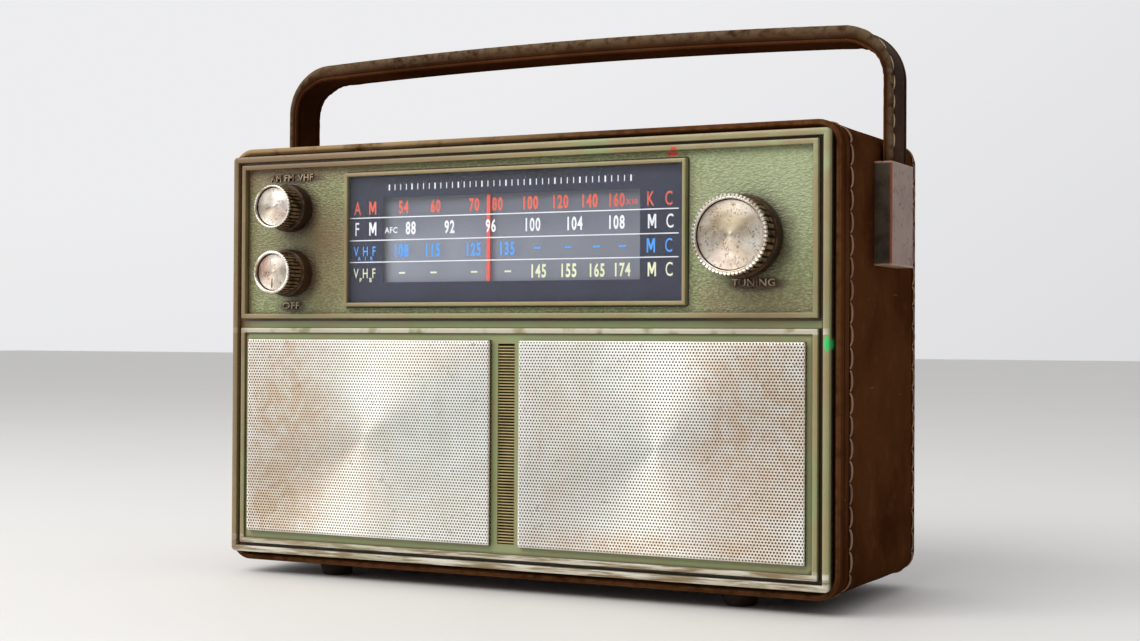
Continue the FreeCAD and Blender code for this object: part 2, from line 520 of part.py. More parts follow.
# ---- handle -------------------------------------------------------------
def arch(x_leg, top, crown, bend, z_end):
    """Closed outline between z_end and the arch, for one side of the strap."""
    cx, cz = x_leg - bend, top - bend
    k = bend * math.sqrt(0.5)
    pts = [V(-x_leg, 0, z_end + ZC), V(-x_leg, 0, cz + ZC), V(-cx - k, 0, cz + k + ZC), V(-cx, 0, top + ZC),
           V(0, 0, crown + ZC), V(cx, 0, top + ZC), V(cx + k, 0, cz + k + ZC), V(x_leg, 0, cz + ZC),
           V(x_leg, 0, z_end + ZC)]
    return Part.Wire([Part.makeLine(pts[0], pts[1]), Part.Arc(pts[1], pts[2], pts[3]).toShape(),
                      Part.Arc(pts[3], pts[4], pts[5]).toShape(), Part.Arc(pts[5], pts[6], pts[7]).toShape(),
                      Part.makeLine(pts[7], pts[8]), Part.makeLine(pts[8], pts[0])])


def strap(x_out, top, crown, bend, x_in, top_in, crown_in, bend_in, z_end, y):
    outer = Part.Face(arch(x_out, top, crown, bend, z_end)).extrude(V(0, y[1] - y[0], 0))
    inner = Part.Face(arch(x_in, top_in, crown_in, bend_in, z_end - 5)).extrude(V(0, y[1] - y[0] + 2, 0))
    inner.translate(V(0, -1, 0))
    shape = outer.cut(inner)
    shape.translate(V(0, y[0], 0))
    return shape


LEG_END = 64.2
leather = strap(STRAP_X[1], STRAP_TOP, STRAP_CROWN, STRAP_BEND,
                STRAP_X[0], STRAP_TOP - 4.6, STRAP_CROWN - 4.8, STRAP_BEND - 4.2, LEG_END, STRAP_Y)
long_edges = [e for e in leather.Edges if e.BoundBox.YLength < 0.01 and e.BoundBox.ZMax > LEG_END + ZC + 1]
leather = leather.makeFillet(1.3, long_edges)
CORE_Y = (6.4, 18.0)
band = strap(STRAP_X[1] - 1.2, STRAP_TOP - 1.8, STRAP_CROWN - 1.8, STRAP_BEND - 1.4,
             STRAP_X[1] - 2.2, STRAP_TOP - 2.8, STRAP_CROWN - 2.8, STRAP_BEND - 2.2, LEG_END - 1, CORE_Y)
leather = leather.cut(band)
heads = []
for s in (-1, 1):
    xs = sorted((s * (STRAP_X[0] + 0.1), s * (STRAP_X[1] - 0.1)))
    heads.append(box(xs, (-0.2, 21.2), (LEG_END - 4.2, LEG_END - 0.2)))
save("handle_strap", leather)
save("handle_core", union([band] + heads))

for name, s in (("left_handle_bracket", -1), ("right_handle_bracket", 1)):
    shell = box(BRACKET_X, BRACKET_Y, BRACKET_Z)
    upright = [e for e in shell.Edges if e.BoundBox.ZLength > 10 and e.BoundBox.XMin > BRACKET_X[1] - 0.1]
    shell = shell.makeFillet(0.8, upright)
    shell = shell.cut(box((119.3, 123.3), (-0.6, 21.6), (BRACKET_Z[0] + 1.3, BRACKET_Z[1] - 1.2)))
    shell = shell.cut(box((119.3, 123.3), (STRAP_Y[0] - 0.4, STRAP_Y[1] + 0.4), (BRACKET_Z[1] - 2, BRACKET_Z[1] + 1)))
    studs = [cyl_x(10.5, z, 1.5, 112.0, 118.7) for z in STUD_Z]
    shell = union([shell] + studs)
    if s < 0:
        shell = shell.mirror(V(0, 0, 0), V(1, 0, 0))
    save(name, shell)
nuts = []
for s in (-1, 1):
    for z in STUD_Z:
        x0 = 113.6 if s > 0 else -116.8
        corners = [V(x0, 10.5 + 3.2 * math.cos(math.radians(60 * k)), z + ZC + 3.2 * math.sin(math.radians(60 * k)))
                   for k in range(7)]
        hexagon = Part.Face(Part.makePolygon(corners)).extrude(V(3.2, 0, 0))
        nuts.append(hexagon.cut(cyl_x(10.5, z, 1.5, x0 - 1, x0 + 5)))
save("bracket_nuts", group(nuts))

# ---- feet ---------------------------------------------------------------
pads = []
for x, y in FOOT_XY:
    pad = Part.makeCone(5.2, FOOT_R, 5.0, V(x, y, 0), V(0, 0, 1))
    base = [e for e in pad.Edges if abs(e.BoundBox.ZMax) < 0.01]
    pads.append(pad.makeFillet(0.8, base))
save("feet", group(pads))

# ---- wiring -------------------------------------------------------------
wires = []
for x in (-GRILLE_X, GRILLE_X):
    for k in (0, 1):
        dx = 3.0 * k
        wires.append(pipe([(x + 9.0 + dx, -8.3, GRILLE_Z), (x + 9.0 + dx, -3.0, GRILLE_Z + 5),
                           (x + 10.0 + dx, 1.0, -8.0), (x + 10.0 + dx, 3.5, 3.0),
                           (x + 10.0 + dx, 7.3, 8.0)], 0.6))
for k in (0, 1):
    dx = 3.0 * k
    wires.append(pipe([(9.8, 33.0 + dx, -20.0), (13.0 + dx, 30.0 + dx, -8.0), (13.0 + dx, 20.0, 2.0),
                       (13.0 + dx, 10.4, 8.0)], 0.6))
save("wiring", group(wires))
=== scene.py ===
import math
import random

import bmesh
import bpy
from mathutils import Matrix, Vector, noise


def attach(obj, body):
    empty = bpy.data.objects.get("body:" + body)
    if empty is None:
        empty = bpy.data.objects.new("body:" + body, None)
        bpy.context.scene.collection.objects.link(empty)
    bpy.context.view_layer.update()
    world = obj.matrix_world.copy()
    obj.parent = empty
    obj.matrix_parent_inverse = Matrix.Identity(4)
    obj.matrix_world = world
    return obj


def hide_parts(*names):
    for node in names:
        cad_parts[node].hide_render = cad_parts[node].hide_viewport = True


# Portable multi-band radio in a leatherette cabinet.
# Lengths in the helpers are millimetres in the object's own frame: +Z up, front faces -Y.
# Heights are counted from the centre of the front panel unless a name says otherwise.

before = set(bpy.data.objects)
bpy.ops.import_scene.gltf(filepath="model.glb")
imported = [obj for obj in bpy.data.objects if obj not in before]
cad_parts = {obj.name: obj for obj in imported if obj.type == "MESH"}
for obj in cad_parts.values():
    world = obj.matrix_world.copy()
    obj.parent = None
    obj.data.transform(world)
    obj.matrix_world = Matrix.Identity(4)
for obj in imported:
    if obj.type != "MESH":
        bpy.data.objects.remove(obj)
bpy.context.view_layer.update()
random.seed(7)

MM = 0.001
ZC = 81.2            # height of the front panel's centre
BAND_XZ, VOLUME_XZ, TUNING_XZ = (-90.5, 53.4), (-90.5, 29.7), (86.4, 39.3)
GX, GZ, GHX, GHZ = 57.0, -29.7, 51.3, 35.2      # centre and half sizes of a grille
pi, sin, cos = math.pi, math.sin, math.cos


# ---- nodes for materials -------------------------------------------------
class Shade:
    """Small builder for a material's node tree."""

    def __init__(self, name):
        self.mat = bpy.data.materials.new(name)
        self.mat.use_nodes = True
        self.t = self.mat.node_tree
        self.t.nodes.clear()
        self.out = self.node("OutputMaterial")
        self.b = self.node("BsdfPrincipled")
        self.link(self.b.outputs[0], self.out.inputs[0])
        self.co = self.node("TexCoord").outputs["Object"]

    def node(self, kind, **props):
        n = self.t.nodes.new("ShaderNode" + kind)
        for k, v in props.items():
            setattr(n, k, v)
        return n

    def link(self, a, b):
        self.t.links.new(a, b)

    def put(self, sock, v):
        """Link an output or set a constant; a colour is 0-255 in three values or linear in four."""
        if hasattr(v, "is_output"):
            self.link(v, sock)
        elif sock.type == "RGBA":
            sock.default_value = v if len(v) == 4 else rgb(*v)
        else:
            sock.default_value = v

    def set(self, **kw):
        for k, v in kw.items():
            self.put(self.b.inputs[k.replace("_", " ")], v)

    def noise(self, scale, detail=4.0, rough=0.55, stretch=None, dist=0.0, co=None):
        """Noise with features about 1/scale millimetres across."""
        n = self.node("TexNoise")
        for key, v in (("Scale", scale * 1000.0), ("Detail", detail), ("Roughness", rough), ("Distortion", dist)):
            n.inputs[key].default_value = v
        c = co or self.co
        if stretch:
            c = self.vmath("MULTIPLY", c, stretch)
        self.link(c, n.inputs["Vector"])
        return n.outputs[0]

    def cells(self, scale, stretch=None):
        n = self.node("TexVoronoi", feature="SMOOTH_F1")
        n.inputs["Scale"].default_value = scale * 1000.0
        c = self.co
        if stretch:
            c = self.vmath("MULTIPLY", c, stretch)
        self.link(c, n.inputs["Vector"])
        return n.outputs["Distance"]

    def math(self, op, a, b=0.0, clamp=False):
        n = self.node("Math", operation=op, use_clamp=clamp)
        self.put(n.inputs[0], a)
        self.put(n.inputs[1], b)
        return n.outputs[0]

    def vmath(self, op, a, b=None, out=0):
        n = self.node("VectorMath", operation=op)
        self.put(n.inputs[0], a)
        if b is not None:
            self.put(n.inputs[1], b)
        return n.outputs[out]

    def step(self, f, a, b):
        """0 below a, 1 above b, or the reverse when a is above b."""
        n = self.node("MapRange", interpolation_type="SMOOTHSTEP")
        self.put(n.inputs[0], f)
        n.inputs[1].default_value, n.inputs[2].default_value = min(a, b), max(a, b)
        n.inputs[3].default_value, n.inputs[4].default_value = (0.0, 1.0) if a < b else (1.0, 0.0)
        return n.outputs[0]

    def blot(self, a, b, *grain, **more):
        """Step over noise."""
        return self.step(self.noise(*grain, **more), a, b)

    def tint(self, col, f, amount, colour):
        """col turned towards colour where f is 1, by amount."""
        return self.mix(self.mul(f, amount), col, colour)

    def mul(self, *f):
        v = f[0]
        for g in f[1:]:
            v = self.math("MULTIPLY", v, g, clamp=True)
        return v

    def mix(self, f, a, b):
        n = self.node("Mix", data_type="RGBA")
        self.put(n.inputs[0], f)
        self.put(n.inputs[6], a)
        self.put(n.inputs[7], b)
        return n.outputs[2]

    def lerp(self, f, a, b):
        n = self.node("Mix")
        self.put(n.inputs[0], f)
        self.put(n.inputs[2], a)
        self.put(n.inputs[3], b)
        return n.outputs[0]

    def wear(self):
        """1 where the surface is worn; -1 in hollows, which are painted dark for settled dirt and as painted shade.
        """
        return self.node("Attribute", attribute_name="wear").outputs["Fac"]

    def bump(self, h, dist):
        """dist is the relief in millimetres for a height of 1."""
        n = self.node("Bump")
        n.inputs["Strength"].default_value = 1.0
        n.inputs["Distance"].default_value = dist * MM
        self.link(h, n.inputs["Height"])
        return n.outputs[0]

    def xyz(self):
        """Millimetres in the object's frame, height from the panel's centre."""
        n = self.node("SeparateXYZ")
        self.link(self.co, n.inputs[0])
        x, y, z = (self.math("MULTIPLY", o, 1000.0) for o in n.outputs)
        return x, y, self.math("SUBTRACT", z, ZC)

    def spot(self, x, z, rx, rz=None, soft=0.35, ragged=0.0):
        """1 inside an ellipse round (x, z) of the front."""
        n = self.vmath("SUBTRACT", self.co, (x * MM, 0.0, (z + ZC) * MM))
        n = self.vmath("MULTIPLY", n, (1000.0 / rx, 0.0, 1000.0 / (rz or rx)))
        d = self.vmath("LENGTH", n, out=1)
        if ragged:
            d = self.math("ADD", d, self.math("MULTIPLY", self.math("SUBTRACT", self.noise(1.2 / rx, 4), 0.5),
                                              ragged))
        return self.step(d, 1.0 + soft, 1.0 - soft)


def rgb(r, g, b):
    """Linear colour from 0-255 display values."""
    def f(c):
        c /= 255.0
        return c / 12.92 if c <= 0.04045 else ((c + 0.055) / 1.055) ** 2.4
    return (f(r), f(g), f(b), 1.0)


M = {}


def finish(name, s, gloss=None):
    """Keep a material under its name, with its specular level if that is not the usual one."""
    if gloss is not None:
        s.b.inputs["Specular IOR Level"].default_value = gloss
    M[name] = s.mat


def plain(name, base, dark, rough=0.45, grain=2, relief=0.03, metallic=0, worn=None, grime_and_shade=None, gloss=None):
    """Moulded plastic, paint or bare metal: mottled colour, fine grain, worn edges, and hollows painted dark for
    grime and as painted shade.
    """
    s = Shade(name)
    n = s.blot(0.35, 0.68, 0.08, 4)
    f = s.noise(grain, 3)
    col = s.mix(n, base, dark)
    specks = s.blot(0.68, 0.74, 0.9, 2)
    col = s.tint(col, specks, 0.5, dark)
    if worn:
        col = s.tint(col, s.step(s.wear(), 0.35, 0.8), s.blot(0.4, 0.58, 0.35, 4), worn)
    # hollows are painted dark: grime, and painted shade in flutes, grooves and round the sides of raised letters
    col = s.mix(s.step(s.wear(), -0.15, -0.9), col, grime_and_shade or (*(0.25 * c for c in rgb(*dark)[:3]), 1))
    s.set(Base_Color=col, Metallic=metallic, Roughness=s.lerp(s.step(f, 0.3, 0.7), rough - 0.08, rough + 0.1),
          Normal=s.bump(f, relief))
    finish(name, s, gloss)


# leatherette of the cabinet: fine pebble grain, worn lighter along the edges
def leather(name, base, dark, pale, relief=0.1, gloss=0):
    s = Shade(name)
    x, y, z = s.xyz()
    grain = s.cells(0.95)
    fine = s.noise(1.9, 3)
    h = s.math("ADD", s.math("MULTIPLY", grain, 0.9), s.math("MULTIPLY", fine, 0.45))
    broad = s.blot(0.36, 0.66, 0.022, 4, dist=0.4)
    col = s.mix(broad, base, dark)
    col = s.tint(col, s.step(fine, 0.42, 0.62), 0.28, dark)
    dusty = s.mul(s.blot(0.5, 0.72, 0.12, 5, 0.62), 0.2)
    col = s.mix(dusty, col, pale)
    scuff = s.blot(0.7, 0.76, 0.5, 4, stretch=(1, 0.18, 1.6))
    col = s.tint(col, scuff, 0.35, (150, 128, 110))
    edge = s.mul(s.step(s.wear(), 0.15, 0.9), s.blot(0.3, 0.6, 0.28, 5, 0.6))
    col = s.mix(edge, col, pale)
    # painted sheen: the top front lip on the left is painted paler as a painted reflection of the bright room above
    lip_sheen = s.mul(s.step(z, 73, 74.2), s.step(y, -26, -33), s.step(x, 60, -60), s.blot(0.28, 0.5, 0.09, 4))
    col = s.tint(col, lip_sheen, 0.85, (162, 138, 102))
    # seam grooves and the strap's underside are painted dark: dirt, and painted shade
    groove_dirt_and_shade = s.step(s.wear(), -0.1, -0.8)
    col = s.mix(groove_dirt_and_shade, col, (30, 17, 11))
    s.set(Base_Color=col, Roughness=s.lerp(s.step(fine, 0.3, 0.7), 0.4, 0.6), Normal=s.bump(h, relief))
    finish(name, s, gloss)


leather("leatherette", (86, 51, 28), (62, 33, 15), (112, 76, 47))
# the strap's paler rolled edges are wear and a painted gloss highlight
leather("handle_leatherette", (66, 40, 22), (45, 25, 12), (98, 81, 62), 0.07, 0.01)
# the strap's underside has its own non-glossy copy of the leatherette, painted lighter than the top to make up for
# the shade it lies in
leather("handle_lining", (92, 54, 30), (68, 37, 18), (104, 72, 44), 0.07)

# panel: sage green paint on textured plastic, grime and painted shade in the hollows
GREEN, GREEN_PALE, TAN = (128, 141, 95), (156, 168, 125), (142, 122, 84)
GRIME_AND_SHADE, GRIME_SOFT = (50, 32, 17), (112, 92, 58)


def green(name, relief, tan_share, painted_grain_light):
    s = Shade(name)
    x, y, z = s.xyz()
    wob = s.noise(1.55, 3, 0.5, stretch=(0.72, 1, 1.3))
    grain = s.cells(1.3, stretch=(0.7, 1, 1.35))
    h = s.math("SUBTRACT", s.math("MULTIPLY", wob, 0.9), s.math("MULTIPLY", grain, 0.75))
    h = s.math("ADD", h, 0.4)
    broad = s.noise(0.03, 5, 0.6, dist=0.3)
    col = s.mix(s.step(broad, 0.4, 0.64), GREEN, (132, 138, 94))
    col = s.tint(col, s.blot(0.46, 0.66, 0.1, 5, 0.62), tan_share, TAN)
    # grain tops are painted pale as painted highlight, low grain painted darker as painted shade
    if painted_grain_light:
        col = s.tint(col, s.step(h, 0.56, 0.74), 0.75, GREEN_PALE)
        col = s.tint(col, s.step(h, 0.56, 0.4), 0.5, (98, 96, 56))
    col = s.tint(col, s.spot(98, 54, 30, 20, 0.8, 0.6), 0.45, (172, 184, 146))
    a = s.wear()
    col = s.mix(s.mul(s.step(a, 0.02, 0.12), s.blot(0.3, 0.56, 0.05, 4), 0.8), col, (142, 120, 82))
    # hollows and the feet of the rims are painted dark: grime and painted shade
    col = s.mix(s.step(a, -0.12, -0.75), col, GRIME_AND_SHADE)
    worn = s.mul(s.step(a, 0.25, 0.85), s.blot(0.34, 0.6, 0.22, 5, 0.6, stretch=(0.3, 1, 0.3)))
    col = s.tint(col, worn, 0.7, (152, 136, 102))
    low = s.mul(s.step(a, 0.05, 0.3), s.step(z, -66, -68), s.blot(0.24, 0.5, 0.1, 4, stretch=(0.3, 1, 1)))
    col = s.mix(s.mul(low, 0.85), col, s.mix(s.blot(0.4, 0.6, 0.55, 5, 0.6, stretch=(0.1, 1, 1.6)),
                                             (204, 200, 186), (118, 98, 66)))
    mid = s.mul(s.step(a, 0.05, 0.3), s.step(s.math("ABSOLUTE", s.math("SUBTRACT", z, 8.8)), 1.2, 0.8),
                s.blot(0.34, 0.5, 0.1, 3))
    col = s.tint(col, mid, 0.65, (206, 204, 186))
    # brown dirt bloom in the upper corners and down the left edge; round the knobs the spots are dirt and painted
    # knob shadow
    for sx, sz, rx, rz, k in ((-108, 72, 42, 12, 0.75), (-70, 70, 60, 5, 0.5), (-88, 42, 20, 9, 0.45),
                              (-78, 20, 22, 10, 0.3), (90, 18, 20, 8, 0.45), (-112, 40, 6, 40, 0.4),
                              (-115, 0, 4, 80, 0.7), (-76, 46, 14, 12, 0.55), (-76, 30, 12, 12, 0.4)):
        col = s.tint(col, s.spot(sx, sz, rx, rz, 0.6, 0.8), k, (112, 86, 58))
    # grime and painted shade round the raised words and at the foot of the knobs
    for sx, sz, rx, rz, k in ((-90.2, 64.4, 12, 2, 0.85), (-90.4, 17.6, 5.5, 2.3, 0.85), (90.6, 24.2, 9.5, 2.6, 0.9),
                              (-88.6, 52.6, 9.6, 9.6, 0.8), (-88.6, 28.9, 9.6, 9.6, 0.8),
                              (88.2, 38.2, 14.6, 14.6, 0.8)):
        col = s.tint(col, s.spot(sx, sz, rx, rz, 0.28, 0.5), k, (62, 40, 22))
    col = s.mix(s.spot(115.2, 5, 1, 2.3, 0.25, 0.7), col, (48, 190, 96))
    red = s.math("MAXIMUM", s.spot(61.2, 67, 1.7, 0.8, 0.3, 1.2), s.spot(62.6, 68.6, 1, 0.6, 0.3, 1.2))
    col = s.mix(red, col, (205, 50, 38))
    rough = s.lerp(s.blot(0.35, 0.65, 0.5, 3), 0.34, 0.52)
    s.set(Base_Color=col, Roughness=rough, Normal=s.bump(h, relief))
    finish(name, s)


green("green_grain", 0.36, 0.22, True)
green("green_smooth", 0.035, 0.35, False)

# spun aluminium: fine turned lines round a centre, stained by age
def spun(name, centre, stain, seed=0, rough=0.56, sparse=0.62, speck_amount=0.3,
         tone=((250, 249, 245), (242, 240, 233)), metal=0.6, fleck=0.5):
    s = Shade(name)
    d = s.vmath("SUBTRACT", s.co, (centre[0] * MM, 0, (centre[1] + ZC) * MM))
    d = s.vmath("MULTIPLY", d, (1, 0, 1))
    r = s.math("MULTIPLY", s.vmath("LENGTH", d, out=1), 1000)
    outward = s.vmath("NORMALIZE", d)
    vt = s.node("VectorTransform", vector_type="VECTOR", convert_from="OBJECT", convert_to="WORLD")
    s.link(outward, vt.inputs[0])
    s.link(vt.outputs[0], s.b.inputs["Tangent"])
    shift = s.vmath("ADD", s.co, (seed, seed, seed))
    cloud = s.noise(0.035, 5, 0.62, dist=1.4, co=shift)
    streak = s.noise(0.09, 5, 0.65, dist=2.2, co=shift)
    base = s.mix(s.step(cloud, 0.38, 0.66), *tone)
    for sx, sz, rx, rz, a, c in stain:
        m = s.mul(s.spot(sx, sz, rx, rz, 0.7, 0.9), s.lerp(s.step(streak, 0.34, 0.66), 0.35, 1), a)
        base = s.mix(m, base, c)
    speck = s.mul(s.blot(sparse, sparse + 0.06, fleck, 3, co=shift),
                  s.blot(0.42, 0.6, fleck * 0.2, 2, co=shift))
    base = s.tint(base, speck, speck_amount, (136, 98, 60))
    # hole walls and the folded sides are painted brown-dark: painted shade inside the holes and down the fold
    base = s.mix(s.step(s.wear(), -0.2, -0.8), base, (108, 56, 32))
    base = s.tint(base, s.step(s.wear(), 0.3, 0.9), 0.5, (244, 240, 232))
    s.set(Base_Color=base, Metallic=metal, Roughness=s.lerp(s.step(cloud, 0.35, 0.7), rough, rough + 0.06))
    s.b.inputs["Anisotropic"].default_value = 0.86
    lines = s.math("SINE", s.math("MULTIPLY", r, 2 * pi / 0.3))
    s.set(Normal=s.bump(s.math("ADD", s.math("MULTIPLY", lines, 0.25), s.noise(0.9, 2)), 0.004))
    finish(name, s)


BROWN_STAIN, PINK_STAIN = (222, 188, 150), (238, 218, 200)
spun("grille_left", (-GX, GZ), [(-92, -22, 20, 40, 0.75, BROWN_STAIN), (-76, -40, 26, 20, 0.6, PINK_STAIN),
                                     (-40, 2, 40, 8, 0.45, PINK_STAIN), (-98, -58, 16, 14, 0.6, BROWN_STAIN),
                                     (-30, -55, 30, 10, 0.35, PINK_STAIN)])
spun("grille_right", (GX, GZ), [(92, -20, 22, 36, 0.65, BROWN_STAIN), (80, -46, 30, 14, 0.5, PINK_STAIN),
                                     (60, -62, 50, 5, 0.55, BROWN_STAIN), (22, -30, 14, 30, 0.45, PINK_STAIN)], 0.37)
DISC_STAIN, DISC = (150, 134, 102), ((240, 236, 230), (214, 204, 192))
for name, at, stain, seed, fleck in (
        ("disc_band", BAND_XZ, [(-94, 52, 5, 7, 0.6, DISC_STAIN), (-86, 50, 5, 4, 0.6, (170, 124, 94))], 0.1, 1.6),
        ("disc_volume", VOLUME_XZ, [(-95, 32, 4, 6, 0.8, (172, 110, 76)), (-86, 27, 6, 6, 0.6, DISC_STAIN)],
         0.2, 1.6),
        ("disc_tuning", TUNING_XZ, [(82, 43, 9, 8, 0.75, DISC_STAIN), (91, 40, 8, 9, 0.6, (176, 160, 124)),
                                    (88, 31, 8, 4, 0.5, (190, 156, 130))], 0.3, 1.5)):
    spun(name, at, stain, seed, 0.42, 0.54, 0.8, DISC, 0.85, fleck)

plain("knob_silver", (226, 220, 208), (168, 148, 124), 0.3, 1.5, 0.02, 0.85, (244, 242, 236), (84, 60, 40))
# near-black in the flute valleys is painted shade
plain("knob_brown", (60, 40, 23), (38, 23, 12), 0.42, 1.6, 0.03, 0, (124, 98, 68), (9, 5, 3), gloss=0.2)
plain("knob_back", (62, 42, 25), (34, 20, 10), 0.42, 1.6, 0.02, 0, (120, 90, 60), gloss=0.2)
# dark sheet behind the grille holes and ribs, dark for the shade and speaker cone behind; also the volume knob's
# index mark
plain("speaker_dark", (40, 18, 14), (28, 12, 9), 0.8)
plain("rib_paint", (176, 160, 108), (150, 132, 84), 0.5, 1.4, 0.03, 0, (190, 176, 136))
plain("label_paint", (106, 82, 54), (76, 54, 33), 0.5, 0.5, 0.03, 0, (172, 152, 120), (34, 20, 10))
plain("mask_navy", (40, 42, 62), (33, 34, 50), 0.6, 1, 0.004, gloss=0.05)
plain("print_orange", (240, 96, 54), (226, 82, 46), 0.4, 1, 0.002)
plain("print_white", (250, 250, 248), (234, 234, 232), 0.4, 1, 0.002)
plain("print_blue", (64, 172, 255), (54, 156, 244), 0.4, 1, 0.002)
plain("print_yellow", (244, 244, 200), (228, 228, 180), 0.4, 1, 0.002)
plain("pointer_red", (246, 88, 66), (236, 70, 52), 0.35, 1, 0.004)
plain("stitch_thread", (150, 112, 84), (108, 76, 54), 0.6, 2.6, 0.05)
plain("handle_thread", (186, 166, 134), (140, 118, 88), 0.6, 2.6, 0.05)
plain("foot_rubber", (48, 36, 30), (34, 25, 21), 0.7, 1.4, 0.05, gloss=0.2)
plain("back_plastic", (64, 45, 32), (56, 39, 27), 0.5, 1.1, 0.07, 0, (96, 74, 56), gloss=0.2)
plain("door_plastic", (66, 47, 34), (57, 40, 28), 0.46, 1.1, 0.07, 0, (96, 74, 56), gloss=0.2)
plain("steel", (168, 166, 160), (128, 124, 116), 0.36, 1.2, 0.01, 1)
plain("zinc_steel", (176, 178, 176), (140, 140, 136), 0.4, 0.9, 0.01, 1)
plain("antenna_chrome", (214, 214, 212), (182, 180, 176), 0.16, 0.8, 0.003, 1)
plain("board_laminate", (150, 98, 46), (122, 76, 34), 0.5)
plain("speaker_paper", (56, 52, 48), (40, 36, 33), 0.8, 2.2, 0.06)
plain("magnet_ferrite", (58, 58, 60), (42, 42, 44), 0.6)
plain("ferrite", (50, 48, 50), (36, 34, 36), 0.55)
plain("copper_wire", (176, 98, 54), (138, 72, 38), 0.35, 3, 0.05, 0.9)
plain("holder_nylon", (222, 216, 198), (196, 188, 166), 0.45)
plain("capacitor_aluminium", (190, 190, 188), (158, 158, 156), 0.35, 1, 0.01, 0.9)
plain("transistor_metal", (160, 160, 158), (126, 126, 124), 0.32, 1, 0.01, 1)
plain("can_metal", (186, 188, 186), (150, 152, 150), 0.36, 1, 0.01, 1)
plain("transformer_iron", (86, 80, 74), (62, 56, 52), 0.55, 1.5, 0.04, 0.5)
plain("control_case", (150, 148, 142), (118, 116, 110), 0.4, 1, 0.01, 0.8)
plain("jack_plastic", (44, 36, 32), (30, 25, 22), 0.4)
plain("battery_tray", (92, 80, 66), (70, 60, 50), 0.5)
plain("battery_jacket", (150, 44, 36), (122, 32, 26), 0.4)
plain("contact_metal", (196, 192, 180), (160, 154, 140), 0.3, 1, 0.01, 1)
plain("drum_plastic", (206, 198, 176), (180, 170, 146), 0.45)
plain("pulley_brass", (190, 156, 92), (156, 122, 66), 0.34, 1, 0.01, 1)
plain("cord_thread", (186, 172, 140), (150, 134, 104), 0.7, 3, 0.05)
plain("wire_plastic", (168, 60, 48), (140, 46, 38), 0.45)

# dial plate behind the glass: pale blue-grey with dusty blotches, darker towards the right, with a painted shadow
# across its upper part
s = Shade("dial_board")
x, y, z = s.xyz()
col = s.mix(s.step(x, -50, 55), (138, 141, 148), (116, 118, 126))
col = s.tint(col, s.blot(0.42, 0.66, 0.05, 4), 0.4, (112, 115, 126))
# painted shadow across the upper part of the plate
col = s.tint(col, s.step(z, 39, 51), 0.8, (96, 98, 108))
s.set(Base_Color=col, Roughness=0.5, Normal=s.bump(s.noise(1.4, 2), 0.01))
finish("dial_board", s)

# clear acrylic: what lies behind shows through, the front mirrors by Fresnel
s = Shade("dial_glass")
s.set(Base_Color=(0.9, 0.93, 0.97, 1), Roughness=s.lerp(s.blot(0.4, 0.7, 0.25, 4), 0.05, 0.16))
clear = s.node("BsdfTransparent")
clear.inputs[0].default_value = (0.97, 0.98, 1, 1)
lw = s.node("LayerWeight")
lw.inputs[0].default_value = 0.5
mirror = s.math("ADD", s.math("MULTIPLY", s.math("POWER", lw.outputs["Facing"], 5), 0.5), 0.03)
mixer = s.node("MixShader")
s.link(mirror, mixer.inputs[0])
s.link(clear.outputs[0], mixer.inputs[1])
s.link(s.b.outputs[0], mixer.inputs[2])
s.link(mixer.outputs[0], s.out.inputs[0])
finish("dial_glass", s)

# bracket: brown plastic, chipped to a rusty tone on its front edges
s = Shade("bracket_plastic")
x, y, z = s.xyz()
n = s.noise(0.25, 5, 0.65)
col = s.mix(s.blot(0.4, 0.65, 0.07, 4), (150, 122, 108), (128, 102, 88))
front = s.step(y, -1.4, -1.9)
col = s.mix(front, col, s.mix(s.step(n, 0.4, 0.6), (66, 58, 42), (42, 34, 24)))
chip = s.mul(s.blot(0.57, 0.6, 0.5, 4, 0.6), s.blot(0.44, 0.5, 0.09, 2))
col = s.tint(col, chip, s.lerp(front, 0.9, 0.35), (112, 56, 30))
corner = s.mul(s.step(y, -1.1, -1.6), s.step(s.math("ABSOLUTE", x), 123.8, 124.25), s.step(n, 0.26, 0.44))
col = s.mix(corner, col, (150, 66, 28))
edge = s.mul(s.math("MAXIMUM", s.step(z, 64.6, 65.3), s.step(z, 31.9, 31.2)), s.step(n, 0.35, 0.5))
col = s.tint(col, edge, 0.8, (186, 150, 122))
s.set(Base_Color=col, Roughness=0.42, Normal=s.bump(n, 0.05))
finish("bracket_plastic", s)


# ---- mesh helpers ----------------------------------------------------------
def add(name, verts, faces, mats, body="cabinet", slot=None, cad=(), index=None, wear=None, angle=38, fix=False):
    """New piece from millimetre points whose height is counted from the panel's centre."""
    me = bpy.data.meshes.new(name)
    me.from_pydata([(p[0] * MM, p[1] * MM, (p[2] + ZC) * MM) for p in verts], [], faces)
    for m in (mats if isinstance(mats, (list, tuple)) else [mats]):
        me.materials.append(M[m])
    if index:
        me.polygons.foreach_set("material_index", index)
    if wear:
        me.attributes.new("wear", "FLOAT", "POINT").data.foreach_set("value", wear)
    if fix:
        b = bmesh.new()
        b.from_mesh(me)
        bmesh.ops.recalc_face_normals(b, faces=b.faces)
        b.to_mesh(me)
        b.free()
    me.polygons.foreach_set("use_smooth", [True] * len(me.polygons))
    me.update()
    me.set_sharp_from_angle(angle=math.radians(angle))
    o = bpy.data.objects.new(name, me)
    bpy.context.scene.collection.objects.link(o)
    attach(o, body)
    if cad:
        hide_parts(*cad)
    return o


